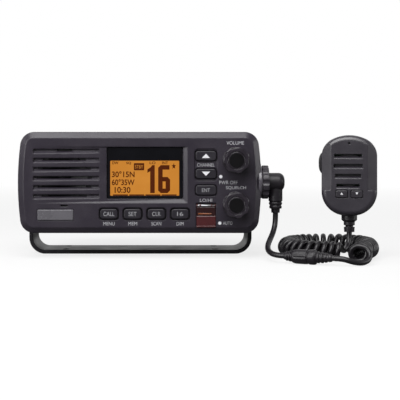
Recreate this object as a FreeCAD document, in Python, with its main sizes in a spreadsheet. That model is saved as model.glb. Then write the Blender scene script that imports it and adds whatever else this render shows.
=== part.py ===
"""Fixed-mount VHF marine radio with a gimbal bracket and a fist microphone on a curly cord.

Frame: millimetres, +Z up, the panel faces -Y. The origin is the middle of the bracket's four base
holes, on the face that lies on the table. The tilt axis runs along X above it.
"""
import FreeCAD, Part
import math
import os
import Sketcher
import PartDesign

Vector = FreeCAD.Vector
doc = FreeCAD.newDocument("marine_radio")

# ---------------------------------------------------------------- driving dimensions
SIZES = [
    ("pivot_height", 56.8, "tilt axis above the table"),
    ("bracket_depth", 40.0, "bracket strip, front to back"),
    ("bracket_plate", 3.0, "bracket strip thickness"),
    ("bracket_bend", 12.5, "outer bend radius of the U"),
    ("arm_rise", 15.0, "bracket arm above the tilt axis"),
    ("arm_round", 15.0, "corner radius of the arm ends"),
    ("hole_span_x", 117.0, "base hole spacing along X"),
    ("hole_span_y", 26.0, "base hole spacing along Y"),
    ("base_hole", 5.5, "base hole diameter"),
    ("chassis_width", 156.0, "chassis, side to side"),
    ("chassis_drop", 30.0, "chassis underside below the tilt axis"),
    ("chassis_rise", 28.0, "chassis rim above the tilt axis"),
    ("chassis_back", 54.0, "chassis rear face behind the tilt axis"),
    ("chassis_wall", 3.0, "chassis wall"),
    ("cover_sheet", 2.0, "top cover thickness"),
    ("fin_reach", 6.0, "cooling fins, out from the rear face"),
    ("fin_side", 8.6, "last cooling fin in from the chassis side"),
    ("fin_sheet", 2.4, "thickness of a cooling fin"),
    ("side_boss", 4.3, "pivot boss, out from the chassis side"),
    ("boss_width", 22.0, "pivot boss diameter"),
    ("tilt_washer", 1.2, "space for the tilt washer"),
    ("stud_width", 6.0, "clamp stud diameter"),
    ("running", 0.08, "radial clearance of a turning fit"),
    ("face_gap", 0.05, "clearance between faces that slide"),
    ("clamp_width", 26.0, "clamp knob diameter"),
    ("clamp_length", 8.8, "clamp knob, along its axis"),
    ("panel_width", 180.4, "front panel at mid height"),
    ("panel_height", 75.0, "front panel height"),
    ("panel_depth", 23.0, "front panel, front to back"),
    ("face_out", 63.0, "front panel face ahead of the tilt axis"),
    ("panel_bow", 228.0, "radius of the bowed panel sides"),
    ("panel_corner", 10.5, "panel corner radius"),
    ("panel_wall", 2.5, "panel rim wall"),
    ("face_wall", 3.0, "panel face wall"),
    ("bevel_in", 4.4, "front bevel, across the face"),
    ("bevel_back", 3.0, "front bevel, back from the face"),
    ("gasket_step", 2.5, "ledge that the gasket seats on"),
    ("gasket_sheet", 1.0, "gasket thickness"),
    ("flange_sheet", 3.0, "chassis front flange thickness"),
    ("panel_screw_inset", 7.6, "panel screws in from the panel side"),
    ("panel_screw_z", 25.0, "panel screws above and below the tilt axis"),
    ("screw_width", 3.0, "screw thread diameter"),
    ("head_width", 5.6, "screw head diameter"),
    ("head_sheet", 1.8, "screw head height"),
    ("sink_left", 78.5, "sunk field, left edge from the middle"),
    ("sink_right", 35.7, "sunk field, right edge from the middle"),
    ("sink_low", -15.3, "sunk field, lower edge from the tilt axis"),
    ("sink_high", 26.4, "sunk field, upper edge from the tilt axis"),
    ("sink_deep", 1.2, "sunk field, depth at its right side"),
    ("sink_bevel", 3.1, "bevel at the right and foot of the sunk field"),
    ("grille_x", -55.6, "speaker centre"),
    ("grille_z", 3.4, "speaker centre from the tilt axis"),
    ("grille_radius", 20.7, "open circle of the louvres"),
    ("louvre_pitch", 6.72, "spacing of the louvres"),
    ("louvre_slot", 1.7, "open height of a louvre"),
    ("louvre_lip", 1.9, "sloped lip under a louvre"),
    ("louvre_deep", 1.9, "groove depth of a louvre"),
    ("louvre_end", -29.8, "right end of the louvre grooves"),
    ("speaker_width", 43.0, "speaker rim diameter"),
    ("plate_x", -62.1, "blank plate centre"),
    ("plate_z", -23.9, "blank plate centre from the tilt axis"),
    ("plate_width", 26.6, "blank plate width"),
    ("plate_height", 8.0, "blank plate height"),
    ("fit", 0.15, "clearance round a part that drops in"),
    ("lens_x", 3.95, "display window centre"),
    ("lens_z", 7.25, "display window centre from the tilt axis"),
    ("lens_width", 56.1, "display window width"),
    ("lens_height", 38.0, "display window height"),
    ("lens_sheet", 1.0, "display window thickness"),
    ("lens_ledge", 2.0, "ledge behind the window"),
    ("glass_sheet", 1.8, "display glass thickness"),
    ("board_sheet", 1.6, "circuit board thickness"),
    ("board_back", 10.0, "front board behind the face"),
    ("key_row_x", 3.75, "middle of the four function keys"),
    ("key_row_z", -23.05, "function keys from the tilt axis"),
    ("key_pitch", 17.5, "spacing of the function keys"),
    ("key_width", 12.7, "function key width"),
    ("key_height", 7.1, "function key height"),
    ("key_corner", 2.0, "corner radius of a key"),
    ("key_margin", 1.1, "dark gap round a function key"),
    ("key_proud", 1.2, "key top ahead of the face"),
    ("key_flange", 0.8, "flange of a key beyond its opening"),
    ("key_travel", 1.0, "key travel"),
    ("nav_x", 49.1, "up, down and enter keys from the middle"),
    ("nav_width", 15.1, "up, down and enter key width"),
    ("nav_margin", 0.6, "gap round these keys"),
    ("up_z", 19.8, "up key from the tilt axis"),
    ("down_z", 6.6, "down key from the tilt axis"),
    ("enter_z", -5.5, "enter key from the tilt axis"),
    ("mat_sheet", 1.2, "keypad mat thickness"),
    ("knob_inset", 19.2, "knob axes in from the panel side"),
    ("volume_z", 16.6, "volume knob from the tilt axis"),
    ("squelch_z", -16.2, "squelch knob from the tilt axis"),
    ("knob_width", 19.5, "knob diameter"),
    ("knob_length", 12.0, "knob ahead of the face"),
    ("knob_cap", 12.2, "round cap in the knob"),
    ("shaft_width", 6.0, "encoder shaft diameter"),
    ("bush_width", 9.0, "encoder bush diameter"),
    ("encoder_width", 12.0, "encoder body width"),
    ("flap_x", 49.2, "port flap centre"),
    ("flap_width", 14.3, "port flap width"),
    ("flap_top", -16.9, "flap pin from the tilt axis"),
    ("flap_drop", 16.3, "flap below its pin"),
    ("flap_sheet", 1.5, "flap thickness"),
    ("flap_barrel", 2.4, "flap barrel diameter"),
    ("pin_width", 1.0, "flap pin diameter"),
    ("port_width", 9.0, "data socket width"),
    ("port_height", 3.6, "data socket height"),
    ("port_z", -22.3, "data socket from the tilt axis"),
    ("socket_back", 12.4, "microphone socket axis behind the face"),
    ("socket_width", 13.0, "microphone socket barrel diameter"),
    ("socket_flange", 19.4, "microphone socket flange diameter"),
    ("ring_width", 25.0, "coupling ring diameter"),
    ("ring_length", 4.7, "coupling ring length"),
    ("plug_width", 13.8, "plug barrel diameter"),
    ("plug_reach", 17.1, "plug, out from the socket face"),
    ("boot_x", 10.5, "plug boot axis, out from the socket face"),
    ("boot_width", 10.4, "plug boot diameter"),
    ("boot_drop", 22.9, "end of the plug boot below the tilt axis"),
    ("cord_width", 4.0, "cord diameter"),
    ("coil_width", 15.0, "outer diameter of the curly cord"),
    ("mic_x", 156.7, "microphone centre"),
    ("mic_y", -53.0, "microphone centre"),
    ("mic_low", 32.3, "lowest edge of the microphone case"),
    ("mic_turn", -10.0, "microphone turned about the vertical, degrees"),
    ("mic_width", 40.6, "microphone width"),
    ("mic_height", 59.6, "microphone case height"),
    ("mic_depth", 24.0, "microphone case, front to back"),
    ("mic_crown", 27.5, "radius of the top edge"),
    ("mic_shoulder", 14.3, "radius of the shoulders"),
    ("mic_jaw", 17.9, "radius of the lower corners"),
    ("mic_wall", 2.0, "microphone case wall"),
    ("ptt_over", 2.54, "top of the talk button above the start of the shoulder"),
    ("ptt_height", 15.2, "talk button height"),
    ("ptt_depth", 9.0, "talk button, front to back"),
    ("ptt_proud", 2.3, "talk button, out from the case"),
    ("relief_width", 11.6, "strain relief collar diameter"),
    ("bracket_edge", 0.6, "rounding of the bracket's rims"),
    ("insert_length", 10.0, "threaded insert length"),
    ("insert_width", 9.0, "threaded insert diameter"),
    ("clamp_socket", 6.0, "depth of the stud's seat in a clamp knob"),
    ("clamp_scallop", 8.0, "diameter of a scallop in a clamp knob"),
    ("chassis_corner", 4.0, "lower corner radius of the chassis"),
    ("post_width", 7.0, "screw post diameter"),
    ("column_width", 8.0, "corner column of the chassis"),
    ("board_stand", 13.0, "main board above the chassis underside"),
    ("board_clear", 0.5, "clearance round the rear socket in the main board"),
    ("fin_gap", 9.5, "first cooling fin clear of the rear sockets"),
    ("rear_inset", 24.0, "rear sockets in from the chassis side"),
    ("antenna_z", 12.0, "antenna socket from the tilt axis"),
    ("antenna_width", 15.9, "antenna socket thread diameter"),
    ("antenna_length", 18.0, "antenna socket behind the chassis"),
    ("inlet_z", -14.0, "power inlet from the tilt axis"),
    ("inlet_width", 22.0, "power inlet width"),
    ("inlet_height", 12.0, "power inlet height"),
    ("rear_hole", 11.0, "holes for the rear sockets"),
    ("rear_tail", 6.0, "rear sockets inside the chassis wall"),
    ("screw_hole", 8.0, "depth of a screw hole"),
    ("window_margin", 10.0, "window in the chassis flange in from the chassis sides"),
    ("window_z", 23.0, "half height of the window in the chassis flange"),
    ("rib_first", 54.0, "first cover rib from the middle"),
    ("can_wall", 1.0, "wall of the shield can"),
    ("face_rim", 0.6, "rounding of the panel's rims"),
    ("louvre_low", -9.5, "lowest louvre from the tilt axis"),
    ("drain_z", -17.1, "drain slot from the tilt axis"),
    ("nav_sink", 0.5, "sunk surround of the up and down keys"),
    ("knob_play", 0.3, "gap between a knob and the face"),
    ("flap_side", 0.25, "gap at each side of the flap"),
    ("lobe_width", 13.0, "diameter of the hollow between two lobes of a knob"),
    ("lobe_out", 5.2, "centre of that hollow outside the knob"),
    ("encoder_floor", 4.0, "encoder behind the end of its shaft"),
    ("flap_notch", 1.5, "half width of the notch in the flap's barrel"),
    ("port_wall", 0.5, "shell of the data socket"),
    ("nose_length", 3.2, "nose of the microphone socket"),
    ("plug_seat", 1.2, "plug inside the socket's flange"),
    ("mic_slot_pitch", 7.35, "spacing of the microphone slots"),
    ("mic_slot_low", 22.8, "lowest microphone slot above the case's lowest edge"),
    ("mic_slot_open", 1.5, "open height of a microphone slot"),
    ("mic_slot_lip", 1.9, "sloped lip under a microphone slot"),
    ("mic_slot_x", -0.9, "middle of the microphone slots"),
    ("mic_slot_half", 10.6, "half width of the widest microphone slot"),
    ("mic_slot_ease", 1.1, "step in half width from slot to slot"),
    ("capsule_z", 53.6, "sound hole above the case's lowest edge"),
    ("mic_key_z", 16.1, "microphone keys above the case's lowest edge"),
    ("mic_key_x", 5.5, "microphone keys from the middle"),
    ("mic_key_width", 8.4, "microphone key width"),
    ("mic_key_height", 5.4, "microphone key height"),
    ("mic_key_gap", 0.35, "gap round a microphone key"),
    ("mic_key_flange", 0.6, "flange of a microphone key"),
    ("mic_key_travel", 0.8, "travel of a microphone key"),
    ("facet_x", 13.2, "start of the slanted side facets"),
    ("facet_low", 18.8, "foot of these facets above the case's lowest edge"),
    ("facet_deep", 4.6, "depth of these facets at the side"),
    ("ptt_corner", 2.0, "corner radius of the talk button"),
    ("ptt_gap", 0.2, "gap round the talk button"),
    ("ptt_seat", 0.7, "talk button's flange behind the wall"),
    ("ptt_flange", 1.0, "flange of the talk button beyond its opening"),
    ("neck_radius", 3.7, "radius of the case's cord hole"),
    ("mic_post", 5.0, "microphone screw post diameter"),
    ("mic_screw", 2.2, "microphone screw thread diameter"),
    ("mic_screw_head", 4.4, "microphone screw head diameter"),
    ("mic_head_sink", 3.4, "seat of a microphone screw below the back"),
    ("hanger_z", 34.0, "hanger button above the case's lowest edge"),
    ("relief_foot", 12.6, "end of the strain relief below the case"),
    ("clamp_flange", 1.8, "plain rim of a clamp knob under its scallops"),
    ("scallop_out", 1.5, "centre of a scallop outside the clamp knob"),
    ("stud_chamfer", 0.6, "chamfer at the stud's inner end"),
    ("column_corner", 1.0, "corner radius of the chassis columns"),
    ("insert_wall", 2.5, "chassis wall round a threaded insert"),
    ("fin_margin", 1.0, "cooling fins short of the chassis edges, and into its rear face"),
    ("cover_edge", 1.8, "rounding of the cover's sides"),
    ("rib_sheet", 3.0, "width of a cover rib"),
    ("rib_rise", 1.2, "cover rib above the cover"),
    ("rib_front", 16.0, "cover ribs behind the cover's front edge"),
    ("rib_back", 14.0, "cover ribs ahead of the cover's rear edge"),
    ("sunk_root", 0.5, "hidden overlap of a raised detail with what carries it"),
    ("board_edge", 1.0, "main board clear of the chassis at its sides and back"),
    ("board_inset", 6.0, "main board behind the panel"),
    ("can_height", 12.0, "shield can height"),
    ("can_width", 64.0, "shield can, side to side"),
    ("can_depth", 48.0, "shield can, front to back"),
    ("power_height", 9.0, "power module height"),
    ("power_width", 50.0, "power module, side to side"),
    ("power_depth", 16.0, "power module, ahead of the rear wall"),
    ("antenna_plate", 25.0, "antenna socket plate, side"),
    ("plate_sheet", 2.0, "rear socket plate thickness"),
    ("plate_corner", 2.0, "corner radius of the rear plates"),
    ("antenna_bore", 12.5, "bore of the antenna socket"),
    ("antenna_floor", 3.0, "floor of that bore behind the plate"),
    ("contact_width", 6.0, "centre contact's sleeve diameter"),
    ("contact_bore", 4.0, "bore of the centre contact"),
    ("contact_short", 1.0, "centre contact short of the barrel's rim"),
    ("inlet_length", 11.0, "power inlet behind the chassis"),
    ("inlet_wall", 1.5, "power inlet wall"),
    ("pin_spacing", 10.0, "spacing of the two supply contacts"),
    ("supply_pin", 2.4, "supply contact diameter"),
    ("supply_reach", 9.0, "supply contacts behind the chassis"),
    ("socket_proud", 1.1, "microphone socket's flange beyond the panel side"),
    ("socket_sink", 1.0, "microphone socket's seat within the panel side"),
    ("socket_bore_deep", 8.0, "hole behind that seat"),
    ("pin_deep", 0.8, "flap pin behind the face"),
    ("flap_seat", 1.3, "seat of the flap behind the face"),
    ("groove_out", 0.5, "louvre cutter ahead of the face"),
    ("lip_slope", 1.26, "louvre lip reach over its height"),
    ("drain_width", 5.4, "drain slot width"),
    ("drain_height", 1.2, "drain slot height"),
    ("plate_seat", 0.8, "blank plate's seat behind the face"),
    ("hole_corner", 1.0, "corner radius of the square openings"),
    ("nav_extra", 0.9, "sunk surround beyond the keys' sides"),
    ("nav_rim", 1.7, "sunk surround above and below the keys"),
    ("seat_over", 0.8, "flap seat above its barrel"),
    ("seat_under", 0.3, "flap seat below the flap"),
    ("barrel_play", 0.4, "groove below the flap's barrel"),
    ("pin_seat", 0.9, "flap pin into the panel at each end"),
    ("port_corner", 0.8, "corner radius of the data socket's window"),
    ("sink_top_slope", 0.3, "slope at the top of the sunk field"),
    ("plate_proud", 0.6, "blank plate ahead of the face"),
    ("plate_chamfer", 0.5, "chamfer of the blank plate"),
    ("glass_corner", 0.5, "corner radius of the display glass"),
    ("board_left", -33.0, "left edge of the front board"),
    ("board_margin", 6.0, "front board in from the panel's top and foot"),
    ("flange_thick", 1.0, "thickness of a key's flange, and margin of the front board"),
    ("mat_play", 0.1, "gap between a pressed key and the mat"),
    ("mat_left", 1.5, "keypad mat beyond the enter key's flange"),
    ("mat_rim", 1.0, "keypad mat beyond the keys"),
    ("key_rim", 0.6, "rounding of a key's top"),
    ("stem_side", 2.5, "key stem in from the key's sides"),
    ("stem_end", 1.5, "key stem in from the key's ends"),
    ("stem_corner", 1.0, "corner radius of a key stem"),
    ("bush_front", 0.6, "encoder bush behind the face"),
    ("bush_back", 1.0, "encoder body behind the panel wall"),
    ("encoder_corner", 0.6, "corner radius of the encoder body"),
    ("shaft_seat", 3.5, "end of the shaft below the knob's top"),
    ("shaft_play", 0.1, "gap behind the shaft"),
    ("knob_rim", 0.9, "rounding of a knob's top"),
    ("knob_skirt", 1.5, "plain rim of a knob under its lobes"),
    ("cap_groove", 0.6, "groove round a knob's cap"),
    ("cap_deep", 0.5, "depth of that groove"),
    ("flap_lip", 0.5, "lip ahead of the flap's foot"),
    ("lip_height", 1.2, "height of that lip"),
    ("lip_inset", 2.0, "lip in from the flap's sides"),
    ("notch_play", 0.3, "notch below the flap's barrel"),
    ("port_sink", 0.4, "data socket behind the flap seat"),
    ("port_round", 0.7, "corner radius of the data socket"),
    ("tongue_width", 5.6, "data socket tongue width"),
    ("tongue_sheet", 0.9, "data socket tongue thickness"),
    ("tongue_sink", 0.8, "tongue behind the data socket's mouth"),
    ("port_floor", 1.5, "floor of the data socket"),
    ("speaker_depth", 9.4, "speaker basket, front to back"),
    ("magnet_width", 22.0, "speaker magnet diameter"),
    ("magnet_length", 5.0, "speaker magnet, front to back"),
    ("pole_width", 5.0, "speaker pole diameter"),
    ("pole_start", 6.4, "speaker pole behind the panel wall"),
    ("screw_short", 1.0, "screw short of the end of its hole"),
    ("ring_wall", 3.2, "wall of the coupling ring round the socket's nose"),
    ("socket_tail", 9.0, "microphone socket inside its seat"),
    ("ring_rim", 0.6, "rounding of the coupling ring"),
    ("ring_play", 0.2, "gap between the ring and the socket's flange"),
    ("dent_width", 6.4, "diameter of a dent in the coupling ring"),
    ("dent_out", 2.2, "centre of a dent outside the ring"),
    ("plug_dome", 4.5, "rounding of the plug's end"),
    ("mic_front_edge", 4.0, "rounding of the case's front"),
    ("mic_back_edge", 5.0, "rounding of the case's back"),
    ("facet_out", 0.1, "facet cutter beyond the case"),
    ("facet_back", 4.0, "extra wall behind the side facets"),
    ("facet_back_deep", 3.2, "that extra wall, front to back"),
    ("capsule_hole", 1.6, "sound hole diameter"),
    ("mic_key_corner", 1.2, "corner radius of a microphone key"),
    ("mic_key_proud", 0.7, "microphone key ahead of the case"),
    ("mic_key_rim", 0.5, "rounding of a microphone key"),
    ("mic_flange_thick", 0.9, "thickness of a microphone key's flange"),
    ("mic_stem_end", 6.0, "microphone key stem behind the case's front"),
    ("mic_stem_width", 4.0, "microphone key stem width"),
    ("mic_stem_height", 3.0, "microphone key stem height"),
    ("mic_stem_corner", 0.5, "corner radius of that stem"),
    ("ptt_edge", 1.2, "rounding of the talk button"),
    ("ptt_flange_thick", 1.0, "thickness of the talk button's flange"),
    ("mic_speaker_z", 33.8, "microphone's speaker above the case's lowest edge"),
    ("mic_speaker_width", 24.0, "microphone's speaker diameter"),
    ("mic_speaker_deep", 3.0, "microphone's speaker, front to back"),
    ("mic_magnet_width", 14.0, "its magnet's diameter"),
    ("mic_magnet_deep", 2.0, "its magnet, front to back"),
    ("capsule_width", 6.0, "sound capsule diameter"),
    ("capsule_deep", 3.5, "sound capsule, front to back"),
    ("mic_board_play", 0.3, "gap between a pressed key and the board"),
    ("mic_board_sheet", 1.2, "microphone board thickness"),
    ("mic_board_width", 24.0, "microphone board width"),
    ("mic_board_low", 13.4, "foot of the microphone board above the case's lowest edge"),
    ("mic_board_high", 47.0, "top of the microphone board above the case's lowest edge"),
    ("hanger_neck", 8.0, "hanger button neck diameter"),
    ("hanger_reach", 3.0, "hanger button neck length"),
    ("hanger_width", 15.0, "hanger button diameter"),
    ("hanger_sheet", 2.2, "hanger button thickness"),
    ("hanger_rim", 0.9, "rounding of the hanger button"),
    ("mic_head_sheet", 1.6, "microphone screw head height"),
    ("mic_screw_floor", 2.0, "microphone screw short of the front wall"),
    ("mic_screw_play", 0.2, "clearance round a microphone screw"),
    ("relief_gap", 0.1, "gap between the strain relief and the case"),
]
sheet = doc.addObject("Spreadsheet::Sheet", "dims")
for row, (alias, value, meaning) in enumerate(SIZES, start=1):
    sheet.set(f"A{row}", alias)
    sheet.set(f"B{row}", str(value))
    sheet.set(f"C{row}", meaning)
    sheet.setAlias(f"B{row}", alias)
doc.recompute()


class Size:
    """A length that carries both its number and the sheet formula that it comes from."""

    def __init__(self, number, formula):
        self.number = number
        self.formula = formula

    def __add__(self, other):
        other = as_size(other)
        return Size(self.number + other.number, f"({self.formula} + {other.formula})")

    def __sub__(self, other):
        other = as_size(other)
        return Size(self.number - other.number, f"({self.formula} - {other.formula})")

    def __mul__(self, factor):
        factor = as_size(factor)
        return Size(self.number * factor.number, f"({self.formula} * {factor.formula})")

    def __truediv__(self, divisor):
        divisor = as_size(divisor)
        return Size(self.number / divisor.number, f"({self.formula} / {divisor.formula})")

    def __neg__(self):
        return Size(-self.number, f"(0 - {self.formula})")

    def __radd__(self, other):
        return as_size(other) + self

    def __rsub__(self, other):
        return as_size(other) - self

    def __rmul__(self, other):
        return as_size(other) * self

    def __float__(self):
        return float(self.number)


def as_size(value):
    return value if isinstance(value, Size) else Size(float(value), format(value, ".6f"))


class Sheet:
    """The spreadsheet's cells as Size values, by alias."""

    def __getattr__(self, alias):
        return Size(float(getattr(sheet, alias)), f"dims.{alias}")


d = Sheet()


def root(value):
    """Square root of a Size."""
    return Size(math.sqrt(value.number), f"sqrt({value.formula})")


def bind(item, path, value):
    item.setExpression(path, as_size(value).formula)


# ---------------------------------------------------------------- outlines for sketches
def hold(sketch, kind, line, point, value):
    """Tie a point's X or Y distance from the sketch origin to a Size."""
    index = sketch.addConstraint(Sketcher.Constraint(kind, -1, 1, line, point, float(value)))
    sketch.setExpression(f"Constraints[{index}]", as_size(value).formula)


def tie_radius(sketch, line, value):
    index = sketch.addConstraint(Sketcher.Constraint("Radius", line, float(value)))
    sketch.setExpression(f"Constraints[{index}]", as_size(value).formula)


def arc(x, y, radius, start, end):
    """Arc of a circle about (x, y), from one angle in degrees to another."""
    circle = Part.Circle(Vector(float(x), float(y), 0), Vector(0, 0, 1), float(radius))
    return Part.ArcOfCircle(circle, math.radians(start), math.radians(end))


def segment(x1, y1, x2, y2):
    return Part.LineSegment(Vector(float(x1), float(y1), 0), Vector(float(x2), float(y2), 0))


def disc(x, y, width):
    """Circle of a given diameter about (x, y)."""
    def draw(sketch):
        centre = Vector(float(x), float(y), 0)
        line = sketch.addGeometry(Part.Circle(centre, Vector(0, 0, 1), float(width) / 2), False)
        hold(sketch, "DistanceX", line, 3, x)
        hold(sketch, "DistanceY", line, 3, y)
        tie_radius(sketch, line, width / 2)
    return draw


def shape(*points):
    """Closed outline of straight lines through the given points."""
    def draw(sketch):
        first = sketch.GeometryCount
        ring = list(zip(points, points[1:] + points[:1]))
        for start, end in ring:
            sketch.addGeometry(segment(*start, *end), False)
        for index in range(len(ring)):
            following = first + (index + 1) % len(ring)
            sketch.addConstraint(Sketcher.Constraint("Coincident", first + index, 2, following, 1))
        for index, (x, y) in enumerate(points):
            hold(sketch, "DistanceX", first + index, 1, x)
            hold(sketch, "DistanceY", first + index, 1, y)
    return draw


def span(left, right, low, high):
    """Rectangle from left to right and from low to high."""
    return shape((left, low), (right, low), (right, high), (left, high))


def close_tangent(sketch, first, count):
    """Join consecutive lines and arcs end to start, each tangent to the next."""
    for index in range(count):
        following = first + (index + 1) % count
        sketch.addConstraint(Sketcher.Constraint("Tangent", first + index, 2, following, 1))


def pad_shape(x, y, width, height, corner):
    """Rectangle about (x, y) with rounded corners."""
    def draw(sketch):
        first = sketch.GeometryCount
        left, right = float(x - width / 2), float(x + width / 2)
        low, high = float(y - height / 2), float(y + height / 2)
        bend = float(corner)
        sketch.addGeometry([
            segment(left + bend, low, right - bend, low),
            arc(right - bend, low + bend, bend, -90, 0),
            segment(right, low + bend, right, high - bend),
            arc(right - bend, high - bend, bend, 0, 90),
            segment(right - bend, high, left + bend, high),
            arc(left + bend, high - bend, bend, 90, 180),
            segment(left, high - bend, left, low + bend),
            arc(left + bend, low + bend, bend, 180, 270),
        ], False)
        close_tangent(sketch, first, 8)
        for line, kind in ((0, "Horizontal"), (2, "Vertical"), (4, "Horizontal"), (6, "Vertical")):
            sketch.addConstraint(Sketcher.Constraint(kind, first + line))
        for line in (3, 5, 7):
            sketch.addConstraint(Sketcher.Constraint("Equal", first + 1, first + line))
        tie_radius(sketch, first + 1, corner)
        hold(sketch, "DistanceY", first, 1, y - height / 2)
        hold(sketch, "DistanceX", first + 2, 1, x + width / 2)
        hold(sketch, "DistanceY", first + 4, 1, y + height / 2)
        hold(sketch, "DistanceX", first + 6, 1, x - width / 2)
    return draw


def discs(places, width):
    """Circles of one diameter at several places."""
    return [disc(x, y, width) for x, y in places]


def bowed(inset):
    """Panel outline moved in by inset: flat top and foot, bowed sides, round corners."""
    half_width = d.panel_width / 2 - inset
    half_height = d.panel_height / 2 - inset
    bow = d.panel_bow - inset
    corner = d.panel_corner - inset
    middle = d.pivot_height

    def draw(sketch):
        first = sketch.GeometryCount
        centre = float(half_width - bow)
        up = float(half_height - corner)
        out = centre + math.sqrt(float(bow - corner) ** 2 - up ** 2)
        lean = math.degrees(math.atan2(up, out - centre))
        high, low, mid = float(middle + half_height), float(middle - half_height), float(middle)
        sketch.addGeometry([
            arc(centre, mid, bow, -lean, lean),
            arc(out, mid + up, corner, lean, 90),
            segment(out, high, -out, high),
            arc(-out, mid + up, corner, 90, 180 - lean),
            arc(-centre, mid, bow, 180 - lean, 180 + lean),
            arc(-out, mid - up, corner, 180 + lean, 270),
            segment(-out, low, out, low),
            arc(out, mid - up, corner, -90, -lean),
        ], False)
        close_tangent(sketch, first, 8)
        for line in (2, 6):
            sketch.addConstraint(Sketcher.Constraint("Horizontal", first + line))
        for line, twin in ((1, 3), (3, 5), (5, 7), (0, 4)):
            sketch.addConstraint(Sketcher.Constraint("Equal", first + line, first + twin))
        tie_radius(sketch, first + 1, corner)
        tie_radius(sketch, first, bow)
        hold(sketch, "DistanceX", first, 3, half_width - bow)
        hold(sketch, "DistanceY", first, 3, middle)
        hold(sketch, "DistanceX", first + 4, 3, bow - half_width)
        hold(sketch, "DistanceY", first + 4, 3, middle)
        hold(sketch, "DistanceY", first + 2, 1, middle + half_height)
        hold(sketch, "DistanceY", first + 6, 1, middle - half_height)
    return draw


def mic_outline(inset):
    """Microphone case outline moved in by inset: crowned top, round shoulders and a round foot."""
    half = d.mic_width / 2 - inset
    crown = d.mic_crown - inset
    shoulder = d.mic_shoulder - inset
    jaw = d.mic_jaw - inset
    top = d.mic_low + d.mic_height - inset
    low = d.mic_low + inset

    def draw(sketch):
        first = sketch.GeometryCount
        side, turn = float(half), float(shoulder)
        crown_z = float(top - crown)
        shoulder_x = side - turn
        swing = math.asin(shoulder_x / float(crown - shoulder))
        shoulder_z = crown_z + float(crown - shoulder) * math.cos(swing)
        jaw_x = side - float(jaw)
        jaw_z = float(low + jaw)
        lean = 90 - math.degrees(swing)
        sketch.addGeometry([
            arc(0, crown_z, crown, lean, 180 - lean),
            arc(-shoulder_x, shoulder_z, shoulder, 180 - lean, 180),
            segment(-side, shoulder_z, -side, jaw_z),
            arc(-jaw_x, jaw_z, jaw, 180, 270),
            segment(-jaw_x, low, jaw_x, low),
            arc(jaw_x, jaw_z, jaw, -90, 0),
            segment(side, jaw_z, side, shoulder_z),
            arc(shoulder_x, shoulder_z, shoulder, 0, lean),
        ], False)
        close_tangent(sketch, first, 8)
        for line, kind in ((2, "Vertical"), (4, "Horizontal"), (6, "Vertical")):
            sketch.addConstraint(Sketcher.Constraint(kind, first + line))
        for line, twin in ((1, 7), (3, 5)):
            sketch.addConstraint(Sketcher.Constraint("Equal", first + line, first + twin))
        tie_radius(sketch, first, crown)
        tie_radius(sketch, first + 1, shoulder)
        tie_radius(sketch, first + 3, jaw)
        hold(sketch, "DistanceX", first, 3, 0)
        hold(sketch, "DistanceY", first, 3, top - crown)
        hold(sketch, "DistanceX", first + 2, 1, -half)
        hold(sketch, "DistanceX", first + 6, 1, half)
        hold(sketch, "DistanceY", first + 4, 1, low)
    return draw


# ---------------------------------------------------------------- features
# Each plane is written by the two axes that its sketch shows; XZ looks out along -Y.
OUTWARD = {"XY": 1, "XZ": -1, "YZ": 1}
nodes = []


def body(label):
    """A new sub-part. Its label names its file."""
    item = doc.addObject("PartDesign::Body", label)
    item.Label = label
    nodes.append(item)
    return item


def draw_on(part, plane, level, outlines):
    sketch = part.newObject("Sketcher::SketchObject", "outline")
    face = [item for item in part.Origin.OriginFeatures if item.Role == plane + "_Plane"][0]
    sketch.AttachmentSupport = (face, [""])
    sketch.MapMode = "FlatFace"
    bind(sketch, "AttachmentOffset.Base.z", as_size(level) * OUTWARD[plane])
    for outline in outlines:
        outline(sketch)
    return sketch


def extrude(part, kind, plane, start, end, outlines):
    level = start if OUTWARD[plane] > 0 else end
    sketch = draw_on(part, plane, level, outlines)
    feature = part.newObject("PartDesign::" + kind, kind.lower())
    feature.Profile = sketch
    feature.Reversed = kind == "Pocket"
    bind(feature, "Length", as_size(end) - start)
    return feature


def pad(part, plane, start, end, *outlines):
    """Add material between two levels of the axis that stands on the plane."""
    return extrude(part, "Pad", plane, start, end, outlines)


def cut(part, plane, start, end, *outlines):
    """Take material away between two levels. The volume has to drop."""
    doc.recompute()
    before = part.Shape.Volume
    feature = extrude(part, "Pocket", plane, start, end, outlines)
    doc.recompute()
    if part.Shape.Volume > before - 1e-3:
        raise RuntimeError(f"a pocket of {part.Label} cuts nothing")
    return feature


def turn(part, plane, axis, outline, kind="Revolution"):
    """Turn an outline once round the sketch's own horizontal (H_Axis) or vertical (V_Axis)."""
    sketch = draw_on(part, plane, 0, [outline])
    feature = part.newObject("PartDesign::" + kind, kind.lower())
    feature.Profile = sketch
    feature.ReferenceAxis = (sketch, [axis])
    feature.Angle = 360
    return feature


def pick_edges(part, along=None, **places):
    """Edges of a sub-part that run along an axis, or lie at the given x, y or z (either side)."""
    doc.recompute()
    found = []
    for index, edge in enumerate(part.Tip.Shape.Edges, start=1):
        box = edge.BoundBox
        spans = {"x": (box.XMin, box.XMax), "y": (box.YMin, box.YMax), "z": (box.ZMin, box.ZMax)}
        flat = [axis for axis, (low, high) in spans.items() if high - low < 0.01]
        if along and (along in flat or len(flat) < 2):
            continue
        if all(min(abs(abs(end) - abs(float(place))) for place in (wanted if isinstance(
                wanted, tuple) else (wanted,))) < 0.02
                for axis, wanted in places.items() for end in spans[axis]):
            found.append(f"Edge{index}")
    if not found:
        raise RuntimeError(f"no such edge on {part.Label}")
    return found


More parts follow.
